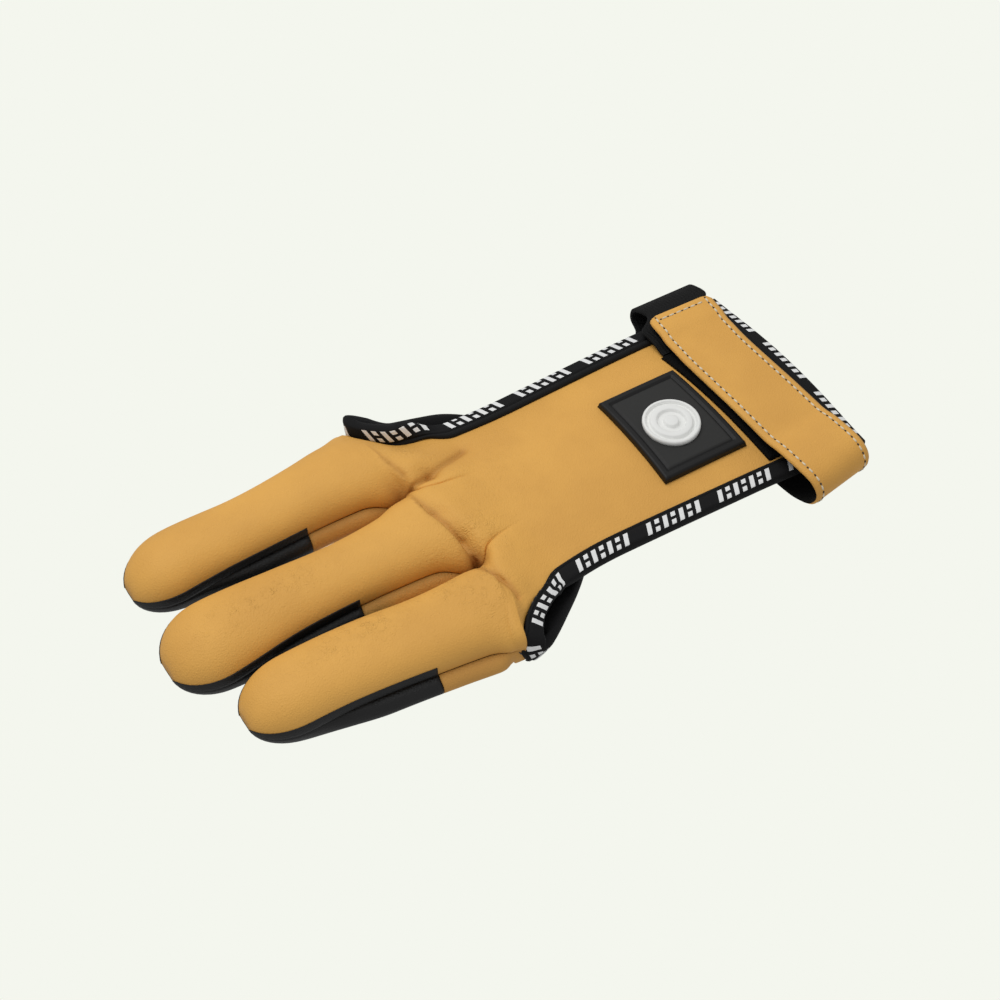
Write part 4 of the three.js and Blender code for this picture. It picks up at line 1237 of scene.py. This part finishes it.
# ---- Stitches ----
def stitches(name, seats, length, thick, material, slot):
    """Small blobs on seats (place, direction along, up): thread loops, and the painted shade of
    needle holes.
    """
    bm = bmesh.new()
    for place, along, up in seats:
        made = bmesh.ops.create_icosphere(bm, subdivisions=1, radius=1)["verts"]
        side = along.cross(up).normalized()
        for vert in made:
            a, b, c = vert.co
            a = math.copysign(abs(a) ** 0.7, a)
            vert.co = place + along * a * length / 2 + side * b * thick / 2 + up * c * thick / 2
    piece(name, bm, material, slot=slot)


def strap_spot(distance, across):
    """Place on the strap's outer face at a distance from its tip and across from its middle."""
    i = max(k for k, value in enumerate(strap_lengths[:-1]) if value <= distance)
    t = (distance - strap_lengths[i]) / (strap_lengths[i + 1] - strap_lengths[i])
    (p, n), (q, m) = (band_spot(strap_line, k, across) for k in (i, i + 1))
    up = n.lerp(m, t).normalized()
    return p.lerp(q, t) + up * LEATHER / 2, up


def strap_seat(distance, across, ahead=0.0, aside=0.0):
    """Seat of a stitch on the strap, which runs ahead or aside by twice the given way."""
    a, up = strap_spot(distance - ahead, across - aside)
    b, _ = strap_spot(distance + ahead, across + aside)
    return (a + b) / 2 + up * 0.05, (b - a).normalized(), up


# Strap stitches, in mm: the way in from the edges, their pitch and half their reach
STITCH_IN = 2.2
STITCH_PITCH = 2.45
STITCH_HALF = 0.4
side_line = STRAP_WIDTH / 2 - STITCH_IN
count = int((strap_lengths[-1] - 30) / STITCH_PITCH)
strap_seats = [
    strap_seat(STITCH_IN + k * STITCH_PITCH, across, ahead=STITCH_HALF)
    for k in range(count) for across in (side_line, -side_line)]
count = round(2 * side_line / STITCH_PITCH)
strap_seats += [
    strap_seat(STITCH_IN, mix(-side_line, side_line, k / count), aside=STITCH_HALF)
    for k in range(1, count)]
stitches("strap_stitches", strap_seats, 1.75, 0.62, CREAM, "leather")
# Painted shade: dark blobs sunk at the strap's needle holes stand in for the shade inside them
hole_shade_seats = [
    (place - along * STITCH_PITCH / 2 - up * 0.12, along, up) for place, along, up in strap_seats]
stitches("strap_needle_hole_shade", hole_shade_seats, 0.75, 0.6, BLACK_THREAD_AND_HOLE_SHADE, "leather")


TAPE_PITCH = 2.4


def tape_seats(ring, reach, height):
    """Seats of the stitches in a tape's groove."""
    seats, travelled = [], 0.0
    for station, following in zip(ring, ring[1:]):
        along = following.place - station.place
        travelled += along.length
        if travelled >= TAPE_PITCH:
            travelled -= TAPE_PITCH
            spot, up = station.on_leather(reach)
            seats.append((spot + up * height, along.normalized(), up))
    return seats


dark_seats = tape_seats(far_ring, EDGE - 2.05, 0.62)
dark_seats += tape_seats(near_ring, EDGE - 0.95, 0.52) + tape_seats(wrist_ring, EDGE - 0.95, 0.52)
stitches("binding_stitches", dark_seats, 1.5, 0.4, BLACK_THREAD_AND_HOLE_SHADE, "tape")


# ---- Floor, light and camera ----
def paper():
    return Finish("pale floor").finished(
        Base_Color=(0, 0, 0, 1),
        Roughness=1,
        Specular_IOR_Level=0,
        Emission_Color=color(244, 246, 238),
        Emission_Strength=1)


def aimed(name, data, place, way):
    """A light or camera at a place, looking along a way."""
    obj = linked(name, data)
    obj.location = place
    obj.rotation_euler = way.to_track_quat("-Z", "Y").to_euler()
    return obj


scene = bpy.context.scene
floor_bm = bmesh.new()
bmesh.ops.create_grid(floor_bm, x_segments=1, y_segments=1, size=4)
floor_mesh = bpy.data.meshes.new("floor")
floor_bm.to_mesh(floor_mesh)
floor_bm.free()
floor_mesh.materials.append(paper())
floor = linked("floor", floor_mesh)
floor.visible_diffuse = floor.visible_glossy = False

scene.view_settings.view_transform = "Standard"
scene.world = bpy.data.worlds.new("studio")
scene.world.use_nodes = True
background = scene.world.node_tree.nodes["Background"]
background.inputs["Color"].default_value = (1, 1, 1, 1)
background.inputs["Strength"].default_value = 0.52

LAMP_PLACE = Vector((-0.15, 0.3, 0.9))
lamp_data = bpy.data.lights.new("top light", "AREA")
lamp_data.shape = "DISK"
lamp_data.size = 0.7
lamp_data.energy = 4.6
aimed("top light", lamp_data, LAMP_PLACE, -LAMP_PLACE)

TARGET_POINT = Vector((0.00584, 0.00807, 0))
AZIMUTH, ELEVATION, DISTANCE = math.radians(-31), math.radians(49), 0.7
camera_data = bpy.data.cameras.new("camera")
camera_data.lens = 93.24
camera_data.sensor_width = 36
camera_data.clip_start = 0.01
back_way = Vector((
    math.sin(AZIMUTH) * math.cos(ELEVATION), -math.cos(AZIMUTH) * math.cos(ELEVATION),
    math.sin(ELEVATION)))
scene.camera = aimed("camera", camera_data, TARGET_POINT + back_way * DISTANCE, -back_way)
